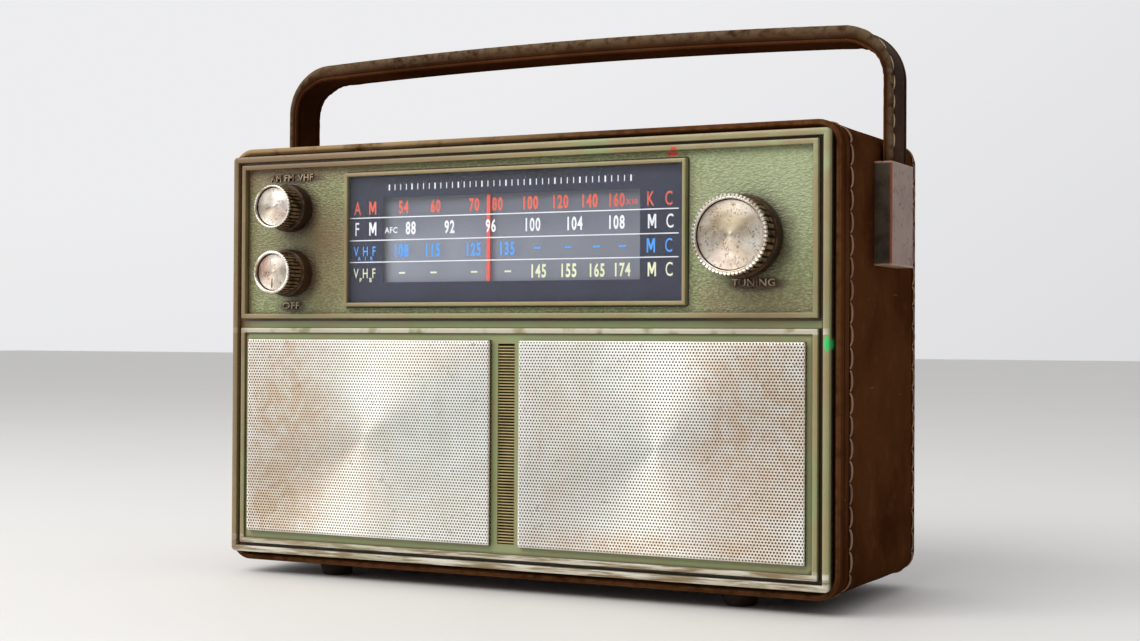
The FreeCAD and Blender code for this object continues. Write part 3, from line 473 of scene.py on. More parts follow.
class Build:
    """Collects several shapes into one piece."""

    def __init__(self):
        self.v, self.f, self.m, self.w = [], [], [], []

    def part(self, verts, faces, wear=0, mat=0):
        n = len(self.v)
        self.v += verts
        self.f += [tuple(i + n for i in f) for f in faces]
        self.m += list(mat) if isinstance(mat, (list, tuple)) else [mat] * len(faces)
        self.w += list(wear) if isinstance(wear, (list, tuple)) else [wear] * len(verts)

    def add(self, name, mats, **kw):
        return add(name, self.v, self.f, mats, index=self.m, wear=self.w, **kw)


def outline(hx, z0, z1, r, cx=0, n=5, nx=1, nz=1):
    """Rounded rectangle in the panel's plane as (x, z), anticlockwise seen from the front."""
    r = max(r, 0.03)
    pts = []
    for a, b, t0, cuts in ((1, -1, -90, nz), (1, 1, 0, nx), (-1, 1, 90, nz), (-1, -1, 180, nx)):
        ox, oz = cx + a * (hx - r), (z1 - r if b > 0 else z0 + r)
        for k in range(n + 1):
            t = math.radians(t0 + 90 * k / n)
            pts.append((ox + r * cos(t), oz + r * sin(t)))
        end = pts[-1]
        nxt = {(1, -1): (cx + hx, z1 - r), (1, 1): (cx - hx + r, z1), (-1, 1): (cx - hx, z0 + r),
               (-1, -1): (cx + hx - r, z0)}[(a, b)]
        for k in range(1, cuts):
            f = k / cuts
            pts.append((end[0] + (nxt[0] - end[0]) * f, end[1] + (nxt[1] - end[1]) * f))
    return pts


def skin(loops, closed=False, caps=False):
    """Faces between equal loops of points, each loop closed on itself."""
    n = len(loops[0])
    verts = [p for l in loops for p in l]
    faces = []
    for i in range(len(loops) if closed else len(loops) - 1):
        a, b = i * n, ((i + 1) % len(loops)) * n
        for j in range(n):
            k = (j + 1) % n
            faces.append((a + j, a + k, b + k, b + j))
    if caps:
        faces.append(tuple(range(n))[::-1])
        faces.append(tuple(range((len(loops) - 1) * n, len(loops) * n)))
    return verts, faces


def ring(hx, z0, z1, r, prof, cx=0, n=5, closed=True, nx=1, nz=1):
    """Moulding round a rounded rectangle. prof: (inset, y, wear and painted shade)."""
    loops, wear = [], []
    for inset, y, w in prof:
        o = outline(hx - inset, z0 + inset, z1 - inset, r - inset, cx, n, nx, nz)
        loops.append([(x, y, z) for x, z in o])
        wear += [w] * len(o)
    v, f = skin(loops, closed)
    return v, f, wear


def slab(*at, **more):
    """Moulding of four rows closed by a flat face at each end."""
    v, f, w = ring(*at, closed=False, **more)
    n = len(v) // 4
    return v, f + [tuple(range(n)), tuple(range(3 * n, 4 * n))[::-1]], w


def rim(w, y_top, y_floor, soft=0.32):
    """Profile of a raised moulding of width w, worn on its corners and painted dark at its foot for grime and as
    painted shade.
    """
    return [(0, y_floor, -1), (0, y_floor - 0.5, -0.55), (0, y_top + 2.2 * soft, 0.05), (0.03, y_top + soft, 0.7),
            (soft * 0.45, y_top + soft * 0.25, 1), (soft, y_top, 0.8), (w * 0.5, y_top, 0.15), (w - soft, y_top, 0.8),
            (w - soft * 0.45, y_top + soft * 0.25, 1), (w - 0.03, y_top + soft, 0.7), (w, y_top + 2.2 * soft, 0.05),
            (w, y_floor - 0.5, -0.55), (w, y_floor, -1)]


def sheet(xs, zs, y, keep, mat, step=4):
    """Flat floor made of cells between the given lines; keep and mat are asked for each cell's centre."""
    def cut(a):
        a = sorted(a)
        out = [a[0]]
        for p, q in zip(a, a[1:]):
            k = max(1, int(round((q - p) / step)))
            out += [p + (q - p) * (i + 1) / k for i in range(k)]
        return out
    xs, zs = cut(xs), cut(zs)
    verts = [(x, y, z) for z in zs for x in xs]
    faces, mats = [], []
    for j in range(len(zs) - 1):
        for i in range(len(xs) - 1):
            cx, cz = 0.5 * (xs[i] + xs[i + 1]), 0.5 * (zs[j] + zs[j + 1])
            if keep(cx, cz):
                a = j * len(xs) + i
                faces.append((a, a + 1, a + 1 + len(xs), a + len(xs)))
                mats.append(mat(cx, cz))
    return verts, faces, mats


def lathe(xz, prof, seg, mod=None):
    """Turned shape about a Y axis. prof: (radius, y, wear and painted shade); mod(turn, row) adds to the radius."""
    verts, wear, rows = [], [], []
    for k, (r, y, w) in enumerate(prof):
        if r < 0.01:
            rows.append([len(verts)])
            verts.append((xz[0], y, xz[1]))
            wear.append(w)
            continue
        row = []
        for j in range(seg):
            t = 2 * pi * j / seg
            dr, dw = mod(j / seg, k) if mod else (0, 0)
            row.append(len(verts))
            verts.append((xz[0] + (r + dr) * cos(t), y, xz[1] + (r + dr) * sin(t)))
            wear.append(w + dw)
        rows.append(row)
    faces = []
    for a, b in zip(rows, rows[1:]):
        for j in range(seg):
            k = (j + 1) % seg
            if len(a) == 1:
                faces.append((a[0], b[k], b[j]))
            elif len(b) == 1:
                faces.append((a[j], a[k], b[0]))
            else:
                faces.append((a[j], a[k], b[k], b[j]))
    return verts, faces, wear


def tube(points, r, sides=6, flat=1, normal=None, taper=0):
    """Thread along points; flat squeezes it along normal, taper thins its ends."""
    verts, faces = [], []
    n = len(points)
    for i, p in enumerate(points):
        a, b = Vector(points[max(i - 1, 0)]), Vector(points[min(i + 1, n - 1)])
        t = (b - a).normalized()
        nn = Vector(normal[i] if isinstance(normal, list) else normal)
        s = t.cross(nn).normalized()
        k = 1 - taper * abs(2 * i / (n - 1) - 1) ** 2
        for j in range(sides):
            q = 2 * pi * j / sides
            verts.append(tuple(Vector(p) + s * (r * k * cos(q)) + nn * (r * k * flat * sin(q))))
    for i in range(n - 1):
        for j in range(sides):
            k = (j + 1) % sides
            faces.append((i * sides + j, i * sides + k, (i + 1) * sides + k, (i + 1) * sides + j))
    faces += [tuple(range(sides)), tuple(range((n - 1) * sides, n * sides))[::-1]]
    return verts, faces


def letters(word, x, z, height, y, squeeze, bold, depth=0):
    """Points and faces of a word standing on the front, centred on (x, z)."""
    if word == "M":
        pts = [(0, 0), (.19, 0), (.19, .62), (0, 1), (.25, 1), (.5, .5), (.42, .18), (.58, .18), (.75, 1), (1, 1),
               (.81, .62), (.81, 0), (1, 0)]
        faces = [(0, 1, 2, 3), (3, 2, 4), (2, 6, 5, 4), (6, 7, 5), (7, 10, 8, 5), (10, 9, 8), (10, 11, 12, 9)]
        wide = height * squeeze * 1.04
        return [(x + (p - 0.5) * wide, y, z + (q - 0.5) * height) for p, q in pts], faces
    c = bpy.data.curves.new("word", "FONT")
    c.body = word
    c.size = 10
    c.offset = bold * 10
    c.extrude = depth
    c.resolution_u = 3
    c.space_character = 1 + bold * 6
    o = bpy.data.objects.new("word", c)
    bpy.context.scene.collection.objects.link(o)
    bpy.context.view_layer.update()
    me = bpy.data.meshes.new_from_object(o.evaluated_get(bpy.context.evaluated_depsgraph_get()))
    pts = [v.co.copy() for v in me.vertices]
    faces = [tuple(p.vertices) for p in me.polygons]
    bpy.data.objects.remove(o)
    bpy.data.curves.remove(c)
    bpy.data.meshes.remove(me)
    x0, x1 = min(p.x for p in pts), max(p.x for p in pts)
    z0, z1 = min(p.y for p in pts), max(p.y for p in pts)
    k = height / (z1 - z0) if word != "-" else height / 10
    return [(x + (p.x - 0.5 * (x0 + x1)) * k * squeeze, y - p.z, z + (p.y - 0.5 * (z0 + z1)) * k) for p in pts], faces


# ---- cabinet shell ---------------------------------------------------------
HX, HZ, CORNER = 118.6, 76.2, 8
SEAMS = (-27, 42.6)
prof = [(2.5, -31, -0.6), (2.5, -34.6, -0.4), (2.3, -35.3, -0.2), (1.95, -35.8, 0.2), (1.7, -36.15, 0.6),
        (1.45, -36.4, 0.9), (1.1, -36.5, 0.6), (0.6, -36.48, 0.35), (0.2, -36.3, 0.5), (0, -35.9, 0.35),
        (0, -34.5, 0.15), (0, -33.2, 0.1), (0.12, -32.75, 0), (0.5, -32.45, -0.9), (0.5, -32.05, -1),
        (0.12, -31.75, -0.1), (0, -31.2, 0.1), (0, -29, 0), (0.06, -27.9, 0.05), (0.5, -27.3, -0.9), (0.5, -26.7, -1),
        (0.1, -26.1, 0), (0, -25, 0.05)]
prof += [(0, -25 + 66 * i / 26, 0) for i in range(1, 26)]
prof += [(0, 41.2, 0.05), (0.08, 41.8, 0), (0.5, 42.3, -0.9), (0.5, 42.9, -1), (0.08, 43.4, 0.05), (0, 44, 0.2)]
for i in range(8):
    t = 0.5 * pi * (i + 1) / 8
    prof.append((6 * (1 - cos(t)), 45 + 6 * sin(t), 0.3 * sin(2 * t)))
N_CASE = dict(n=8, nx=56, nz=38)
loops, wear = [], []
for inset, y, w in prof:
    o = outline(HX - inset, -HZ + inset, HZ - inset, max(CORNER - inset, 3), 0, **N_CASE)
    row = []
    for x, z in o:
        if inset < 1 and -31 < y < 46:     # covering drawn over board is never quite flat
            d = 0.16 * (noise.noise((x * 0.035, y * 0.05, z * 0.035)) - 0.25)
            nx, nz = (x / HX) ** 7, (z / HZ) ** 7
            x, z = x + d * nx, z + d * nz
        row.append((x, y, z))
    loops.append(row)
    wear += [w] * len(o)
for hx, hz, r, y, w in ((106.3, 63.3, 5.3, 51, 0.3), (106, 63, 5, 50.7, 0), (106, 63, 5, 48.4, -0.6),
                        (102, 59, 3, 48.4, -0.6), (102, 59, 3, 46.2, -0.6), (116.8, 74.4, 6.2, 46.2, -0.5)):
    o = outline(hx, -hz, hz, r, 0, **N_CASE)
    loops.append([(x, y, z) for x, z in o])
    wear += [w] * len(o)
v, f = skin(loops, closed=True)
case = add("cabinet_cover", v, f, "leatherette", slot="leatherette", cad=["cabinet_shell"], wear=wear, fix=True)


def cutter(name, at, axis, r, length):
    """Cylinder for cutting a hole, centred on at."""
    b = bmesh.new()
    bmesh.ops.create_cone(b, cap_ends=True, segments=40, radius1=r * MM, radius2=r * MM, depth=length * MM)
    me = bpy.data.meshes.new(name)
    b.to_mesh(me)
    b.free()
    o = bpy.data.objects.new(name, me)
    turn = Vector((0, 0, 1)).rotation_difference(Vector(axis)).to_matrix().to_4x4()
    o.matrix_world = Matrix.Translation(Vector((at[0], at[1], at[2] + ZC)) * MM) @ turn
    bpy.context.scene.collection.objects.link(o)
    return o


holes = [cutter("h1", (-117.7, 0, -20), (1, 0, 0), 3.6, 6), cutter("h2", (96, 38, 75.4), (0, 0, 1), 3.9, 6)]
for h in holes:
    mod = case.modifiers.new("hole", "BOOLEAN")
    mod.object, mod.operation, mod.solver = h, "DIFFERENCE", "EXACT"
bpy.context.view_layer.update()
cut = bpy.data.meshes.new_from_object(case.evaluated_get(bpy.context.evaluated_depsgraph_get()))
case.modifiers.clear()
case.data = cut
for h in holes:
    bpy.data.objects.remove(h)


def perimeter(s):
    """Point on the cabinet's outline and its outward direction, s millimetres along it."""
    a, b, r = HX - CORNER, HZ - CORNER, CORNER
    legs = [((HX, -b), (HX, b), (1, 0)), ((a, b), 0, None), ((a, HZ), (-a, HZ), (0, 1)), ((-a, b), 90, None),
            ((-HX, b), (-HX, -b), (-1, 0)), ((-a, -b), 180, None), ((-a, -HZ), (a, -HZ), (0, -1)),
            ((a, -b), 270, None)]
    for p, q, nrm in legs:
        if nrm is None:
            length = 0.5 * pi * r
            if s <= length:
                t = math.radians(q) + s / r
                return p[0] + r * cos(t), p[1] + r * sin(t), cos(t), sin(t)
        else:
            length = math.hypot(q[0] - p[0], q[1] - p[1])
            if s <= length:
                k = s / length
                return p[0] + (q[0] - p[0]) * k, p[1] + (q[1] - p[1]) * k, nrm[0], nrm[1]
        s -= length
    return HX, -b, 1, 0


AROUND = 4 * (HX - CORNER) + 4 * (HZ - CORNER) + 2 * pi * CORNER
STITCHES = 106
pitch = AROUND / STITCHES
for name, y in zip(("cabinet_stitches_front", "cabinet_stitches_back"), SEAMS):
    b = Build()
    for i in range(STITCHES):
        pts, nrm = [], []
        lean = random.uniform(-0.25, 0.25)
        out = random.uniform(1.25, 1.75)
        for j in range(8):
            t = j / 7
            x, z, nx, nz = perimeter(((i + 0.04 + 0.92 * t) * pitch) % AROUND)
            bulge = (4 * t * (1 - t)) ** 0.6
            pts.append((x + nx * (-0.12 + 0.2 * bulge), y + 0.2 + out * bulge + lean * (t - 0.5),
                        z + nz * (-0.12 + 0.2 * bulge)))
            nrm.append((nx, 0, nz))
        v, f = tube(pts, 0.78, 8, 0.42, nrm, 0.55)
        b.part(v, f, wear=random.uniform(0, 0.5))
    b.add(name, "stitch_thread", slot="leatherette", angle=60)

# ---- front panel -----------------------------------------------------------
PX, PZ = 116, 73
UPPER_Y, LOWER_Y, BACK_Y = -37.6, -39, -35     # floors of the two fields, back of the panel
b = Build()
outer = [(0, -31, -1), (0, -36.9, -0.9), (0, -38.6, -0.2), (0, -39.4, 0.35), (0.1, -39.8, 1), (0.4, -40, 0.8),
         (1.1, -40.03, 0.2), (1.85, -40, 0.8), (2.12, -39.85, 1), (2.2, -39.4, 0.4), (2.2, -38.4, -0.5),
         (2.2, -37.6, -1), (2.2, -35, -1), (2, -35, -1), (2, -31, -1)]
b.part(*ring(PX, -PZ, PZ, 1.5, outer, nx=40, nz=26), 1)
FX, UP, LOW = 112.2, (13.1, 69.8), (-69.6, 9.7)
for z0, z1, floor in ((*UP, UPPER_Y), (*LOW, LOWER_Y)):
    p = rim(1.8, -40, UPPER_Y)
    if floor == LOWER_Y:
        p = p[:9] + [(1.78, -39.75, 0.6), (1.8, -39.5, -0.1), (1.8, -39.2, -0.9), (1.8, -37.6, -1)]
    b.part(*ring(FX, z0, z1, 0.25, p, n=2, nx=40, nz=12), 1)
# dial surround
DX, DZ, DW = 65.4, (18.8, 64), 1.4
p = [(-0.55, -37.6, -0.9), (-0.2, -37.85, -0.6), (0, -38.6, -0.1), (0, -39.3, 0.5), (0.12, -39.65, 1),
     (0.4, -39.8, 0.8), (0.95, -39.8, 0.6), (1.25, -39.68, 1), (1.38, -39.4, 0.5), (1.4, -38.95, -0.3),
     (1.4, -38.6, -1), (0.7, -38.6, -1), (0.7, -36, -1)]
b.part(*ring(DX + DW, DZ[0] - DW, DZ[1] + DW, 0.5, p, n=3, nx=24, nz=10), 1)
# grooves between the rims, upper field, raised lower floor
xs = [-113.9, -FX + 0.2, -DX - 0.6, DX + 0.6, FX - 0.2, 113.9]
zs = [-70.9, LOW[0] + 0.2, LOW[1] - 0.2, 10.2, 11.9, 12.5, UP[0] + 0.2, DZ[0] - 0.6, DZ[1] + 0.6, UP[1] - 0.2, 70.9]


def in_dial(x, z):
    return abs(x) < DX + 0.6 and DZ[0] - 0.6 < z < DZ[1] + 0.6


def in_lower(x, z):
    return abs(x) < FX - 0.2 and LOW[0] < z < LOW[1]


def in_upper(x, z):
    return abs(x) < FX - 0.2 and UP[0] < z < UP[1]


v, f, m = sheet(xs, zs, UPPER_Y, lambda x, z: not in_dial(x, z) and not in_lower(x, z),
                lambda x, z: 0 if in_upper(x, z) else 1, 3)
w = []
for x, y, z in v:
    if in_upper(x, z):
        edge = min(FX - 1.8 - abs(x), z - UP[0] - 1.8, UP[1] - 1.8 - z)
        to_dial = max(abs(x) - DX - DW, DZ[0] - DW - z, z - DZ[1] - DW)
        # the upper field darkens towards its rims and the dial surround: grime and painted shade
        w.append(-0.35 * max(0, 1 - edge / 2.5) - 0.3 * max(0, 1 - max(to_dial, 0) / 2))
    else:
        w.append(-0.05 if abs(x) < FX and 10 < z < 12 else -0.9)
b.part(v, f, w, m)


# the floor under the grilles is a dark sheet in place of the speaker opening, painted dark for the shade and cone
# behind the holes
def under_grille(x, z):
    return abs(abs(x) - GX) < GHX - 1.5 and abs(z - GZ) < GHZ - 1.5


ST, STRIP_Z = 3.25, (-64.3, 4.4)      # ribbed strip between the grilles
xs = [-110.5, -GX - GHX + 1.5, -GX + GHX - 1.5, -ST, ST, GX - GHX + 1.5, GX + GHX - 1.5, 110.5]
zs = [LOW[0] + 1.7, GZ - GHZ + 1.5, *STRIP_Z, GZ + GHZ - 1.5, LOW[1] - 1.7]
v, f, m = sheet(xs, zs, LOWER_Y, lambda x, z: not (abs(x) < ST and STRIP_Z[0] < z < STRIP_Z[1]),
                lambda x, z: 2 if under_grille(x, z) else 1, 2.2)
w = []
# the lower floor darkens towards its rims and round the grille pans: grime and painted shade
for x, y, z in v:
    edge = min(110.4 - abs(x), z - LOW[0] - 1.8, LOW[1] - 1.8 - z)
    pan = max(abs(abs(x) - GX) - GHX, abs(z - GZ) - GHZ)
    w.append(-0.45 * max(0, 1 - edge / 0.7) - 0.35 * max(0, 1 - abs(pan) / 0.6))
b.part(v, f, w, m)
p = [(-0.25, -39, 0.2), (-0.05, -39.03, 0.8), (0, -38.9, 0), (0, -37.7, -1)]
b.part(*ring(ST, *STRIP_Z, 0.1, p, n=1, closed=False, nz=30), 1)
# dark floor between the ribs: painted shade in the gaps
v, f, m = sheet([-ST, ST], STRIP_Z, -37.7, lambda x, z: True, lambda x, z: 2, 4)
b.part(v, f, -1, m)
# back of the plate
v, f, m = sheet([-113.9, -DX - 0.7, DX + 0.7, 113.9], [-70.9, DZ[0] - 0.7, DZ[1] + 0.7, 70.9], BACK_Y,
                lambda x, z: not (abs(x) < DX + 0.7 and DZ[0] - 0.7 < z < DZ[1] + 0.7), lambda x, z: 1, 8)
b.part(v, f, -0.3, m)
b.add("front_panel_face", ["green_grain", "green_smooth", "speaker_dark"], slot="panel_green", cad=["front_panel"])

b = Build()
RIBS, RIB_PITCH = 67, 1.016
for i in range(RIBS):
    z0 = -63.95 + i * RIB_PITCH
    rows = []
    for x in (-ST, -ST + 0.15, 0, ST - 0.15, ST):
        k = 0.12 if abs(x) > ST - 0.05 else 0
        rows.append([(x, -37.75, z0 - 0.02), (x, -38.5, z0 + 0.02), (x, -38.82 + k, z0 + 0.12),
                     (x, -38.9 + k, z0 + 0.25), (x, -38.82 + k, z0 + 0.38), (x, -38.5, z0 + 0.48),
                     (x, -37.75, z0 + 0.52)])
    v = [p for r in rows for p in r]
    f = [(a * 7 + c, a * 7 + c + 1, (a + 1) * 7 + c + 1, (a + 1) * 7 + c) for a in range(4) for c in range(6)]
    b.part(v, f, [(-0.6, -0.3, 0.3, 0.7, 0.3, -0.3, -0.6)[j % 7] for j in range(len(v))])
b.add("front_panel_ribs", "rib_paint", slot="panel_green", angle=50)

# ---- words on the panel ----------------------------------------------------
b = Build()
for word, x, z, h, sq in (("AM", -98.1, 64.7, 2.4, 0.96), ("FM", -92.2, 64.7, 2.4, 1.02),
                          ("VHF", -84.9, 64.7, 2.4, 1.06), ("OFF", -90.9, 17.9, 2.4, 1.28),
                          ("TUNING", 89.8, 24.5, 2.4, 1.12)):
    v, f = letters(word, x, z, h, -37.8, sq, 0.012, 0.32)
    b.part(v, f, [0.75 if p[1] < -38 else -1 for p in v])
b.add("front_panel_words", "label_paint", slot="panel_green", angle=30)


# ---- dial ------------------------------------------------------------------
b = Build()
p = [(0, -36.98, 0), (0, -38.75, 0), (0.05, -38.85, 0), (0.15, -38.9, 0)]
b.part(*slab(DX + 0.5, DZ[0] - 0.5, DZ[1] + 0.5, 0.3, p, n=2))
b.add("dial_glass", "dial_glass", slot="dial_glass", cad=["dial_window"], fix=True)
# dark mask on the back of the glass, open in the middle
b = Build()
OPEN_X, OPEN_Z, MASK_Y = (-52, 49.2), (26, 56.2), (-36.86, -36.8)
for y in MASK_Y:
    v, f, m = sheet([-DX - 0.4, *OPEN_X, DX + 0.4], [DZ[0] - 0.4, *OPEN_Z, DZ[1] + 0.4], y,
                    lambda x, z: not (OPEN_X[0] < x < OPEN_X[1] and OPEN_Z[0] < z < OPEN_Z[1]), lambda x, z: 0, 6)
    b.part(v, f)
v, f, w = ring(50.6, *OPEN_Z, 0.05, [(0, y, 0) for y in MASK_Y], -1.4, 1, False)
b.part(v, f)
b.add("dial_mask", "mask_navy", slot="dial_glass")
PRINT = -36.9


def behind(x):
    """The scale is printed on the back of the glass and reads a little to the side."""
    return x * 1.0058 - 1.72


def strip_of(x0, x1, z0, z1):
    return [(x0, PRINT, z0), (x1, PRINT, z0), (x1, PRINT, z1), (x0, PRINT, z1)], [(0, 1, 2, 3)]


def row(name, mat, z, words, dashes=(), extra=()):
    """One band's scale: words at this height, dashes, and small extra words with their own height and size."""
    b = Build()
    for word, x, *size in words:
        h, sq = size or (4.7, 0.62)
        v, f = letters(word, behind(x), z, h, PRINT, sq, 0.03 if word.isdigit() else 0.004)
        b.part(v, f)
    for x in dashes:
        b.part(*strip_of(behind(x) - 1.3, behind(x) + 1.3, z - 0.3, z + 0.3))
    for word, x, zz, h in extra:
        v, f = letters(word, behind(x), zz, h, PRINT, 0.9, 0.022)
        b.part(v, f)
    b.add(name, mat, slot="dial_glass").visible_shadow = False


SMALL = (3.4, 0.7)
row("dial_print_am", "print_orange", 52.7,
    [("A", -60.7), ("M", -54.3), ("54", -41.3), ("60", -28.1), ("70", -12.5), ("80", -3.3),
     ("100", 9.7), ("120", 21.2), ("140", 32.2), ("160", 42.2), ("K", 54.5), ("C", 61)],
    extra=[("X10", 47.6, 51.9, 1.9)])
row("dial_print_fm", "print_white", 45.2,
    [("F", -60.8), ("M", -54.2), ("88", -38.3), ("92", -22.4), ("96", -5.9), ("100", 10.6),
     ("104", 26.6), ("108", 42.2), ("M", 55), ("C", 61.4)], extra=[("AFC", -46.5, 44.6, 2.2)])
row("dial_print_air", "print_blue", 37.2,
    [("V", -61.2, *SMALL), ("H", -57.3, *SMALL), ("F", -53.6, *SMALL), ("108", -42), ("115", -29.1),
     ("125", -12.6), ("135", 0.7), ("M", 54.6), ("C", 61)],
    [12.3, 24, 34.7, 44.3], [("A", -59.9, 34.6, 1.4), ("I", -57.3, 34.6, 1.4), ("R", -54.6, 34.6, 1.4)])
row("dial_print_pb", "print_yellow", 29.3,
    [("V", -61.2, *SMALL), ("H", -57.3, *SMALL), ("F", -53.6, *SMALL), ("145", 12.9), ("155", 24.4),
     ("165", 35), ("174", 44.4), ("M", 55), ("C", 61.2)],
    [-41.8, -28.8, -12.4, 0.9], [("P", -59.2, 26.9, 1.5), ("B", -55, 26.9, 1.5)])
b = Build()
for i in range(41):
    x = behind(-47.3 + 94.6 * i / 40)
    wide = 0.3 if i % 4 == 0 else 0.17
    b.part(*strip_of(x - wide, x + wide, 58.8, 60.9))
for z in (49.2, 41.1, 33.3):
    b.part(*strip_of(behind(-64.3), behind(64.5), z - 0.18, z + 0.18))
b.add("dial_print_scale", "print_white", slot="dial_glass").visible_shadow = False

b = Build()
b.part(*slab(56, 22, 63, 0.8, [(0.2, -34.6, 0.4), (0, -34.4, 0.2), (0, -33.9, 0), (0.2, -33.8, 0)], n=3))
for x, z in ((-52, 27), (12, 27), (-46, 58), (5, 58)):
    b.part(*lathe((x, z), [(2.3, -33.8, 0), (2, -33.4, 0), (2, -21.1, 0), (1.7, -21, 0)], 20))
b.add("dial_plate", "dial_board", slot="dial_board", cad=["dial_backplate"])

# ---- perforated grilles ----------------------------------------------------
RHO, DEEP = 0.55, 2.1


def fold(u, h):
    """Flat sheet coordinate to (position, depth, outward lean) round the folded edge."""
    s, a = (1 if u >= 0 else -1), abs(u) - (h - RHO)
    if a <= 0:
        return u, 0, 0
    if a <= 0.5 * pi * RHO:
        t = a / RHO
        return s * (h - RHO + RHO * sin(t)), RHO * (1 - cos(t)), s * t
    return s * h, RHO + a - 0.5 * pi * RHO, s * 0.5 * pi


def grille(name, node, cx, mat):
    ROW, HALF, HOLE = 1.016, 0.558, 0.362
    verts, wear, faces, seen = [], [], [], {}
    flat_x, flat_z = GHX - RHO, GHZ - RHO
    reach = 0.5 * pi * RHO - RHO + DEEP + 0.4

    def point(u, w, sink=0):
        x, dx, lx = fold(u, GHX)
        z, dz, lz = fold(w, GHZ)
        d = dx + dz
        nx, nz = sin(lx), sin(lz)
        ny = -cos(lx) * cos(lz)
        p = Vector((cx + x, -41.1 + d, GZ + z)) - Vector((nx, ny, nz)).normalized() * sink
        verts.append(tuple(p))
        # the fold's sides and the hole walls get negative values, which the grille material paints dark as shade
        wear.append((0.9 if 0 < d < 0.3 else -min(1, max(0, d - 0.3))) if sink == 0 else -1)
        return len(verts) - 1

    def corner(c, j):
        if (c, j) not in seen:
            seen[(c, j)] = point(c * HALF, (j - 35) * ROW + ROW * 0.5 - ROW)
        return seen[(c, j)]
    for j in range(-3, 73):
        w = (j - 35) * ROW
        if abs(w) + ROW * 0.5 > flat_z + reach:
            continue
        for i in range(-49, 50):
            c = 2 * i + (j % 2)
            u = c * HALF
            if abs(u) + HALF > flat_x + reach or (abs(u) > flat_x + 0.2 and abs(w) > flat_z + 0.2):
                continue
            rimv = [corner(c - 1, j), corner(c, j), corner(c + 1, j), corner(c + 1, j + 1), corner(c, j + 1),
                    corner(c - 1, j + 1)]
            front, back = [], []
            for k in range(6):
                t = math.radians((210, 270, 330, 30, 90, 150)[k])
                front.append(point(u + HOLE * cos(t), w + HOLE * sin(t)))
                back.append(point(u + HOLE * cos(t), w + HOLE * sin(t), 0.45))
            for k in range(6):
                q = (k + 1) % 6
                faces.append((rimv[k], rimv[q], front[q], front[k]))
                faces.append((front[k], front[q], back[q], back[k]))
    add(name, verts, faces, mat, slot="grille_aluminium", cad=[node], wear=wear, angle=42)


grille("left_grille_sheet", "left_grille", -GX, "grille_left")
grille("right_grille_sheet", "right_grille", GX, "grille_right")


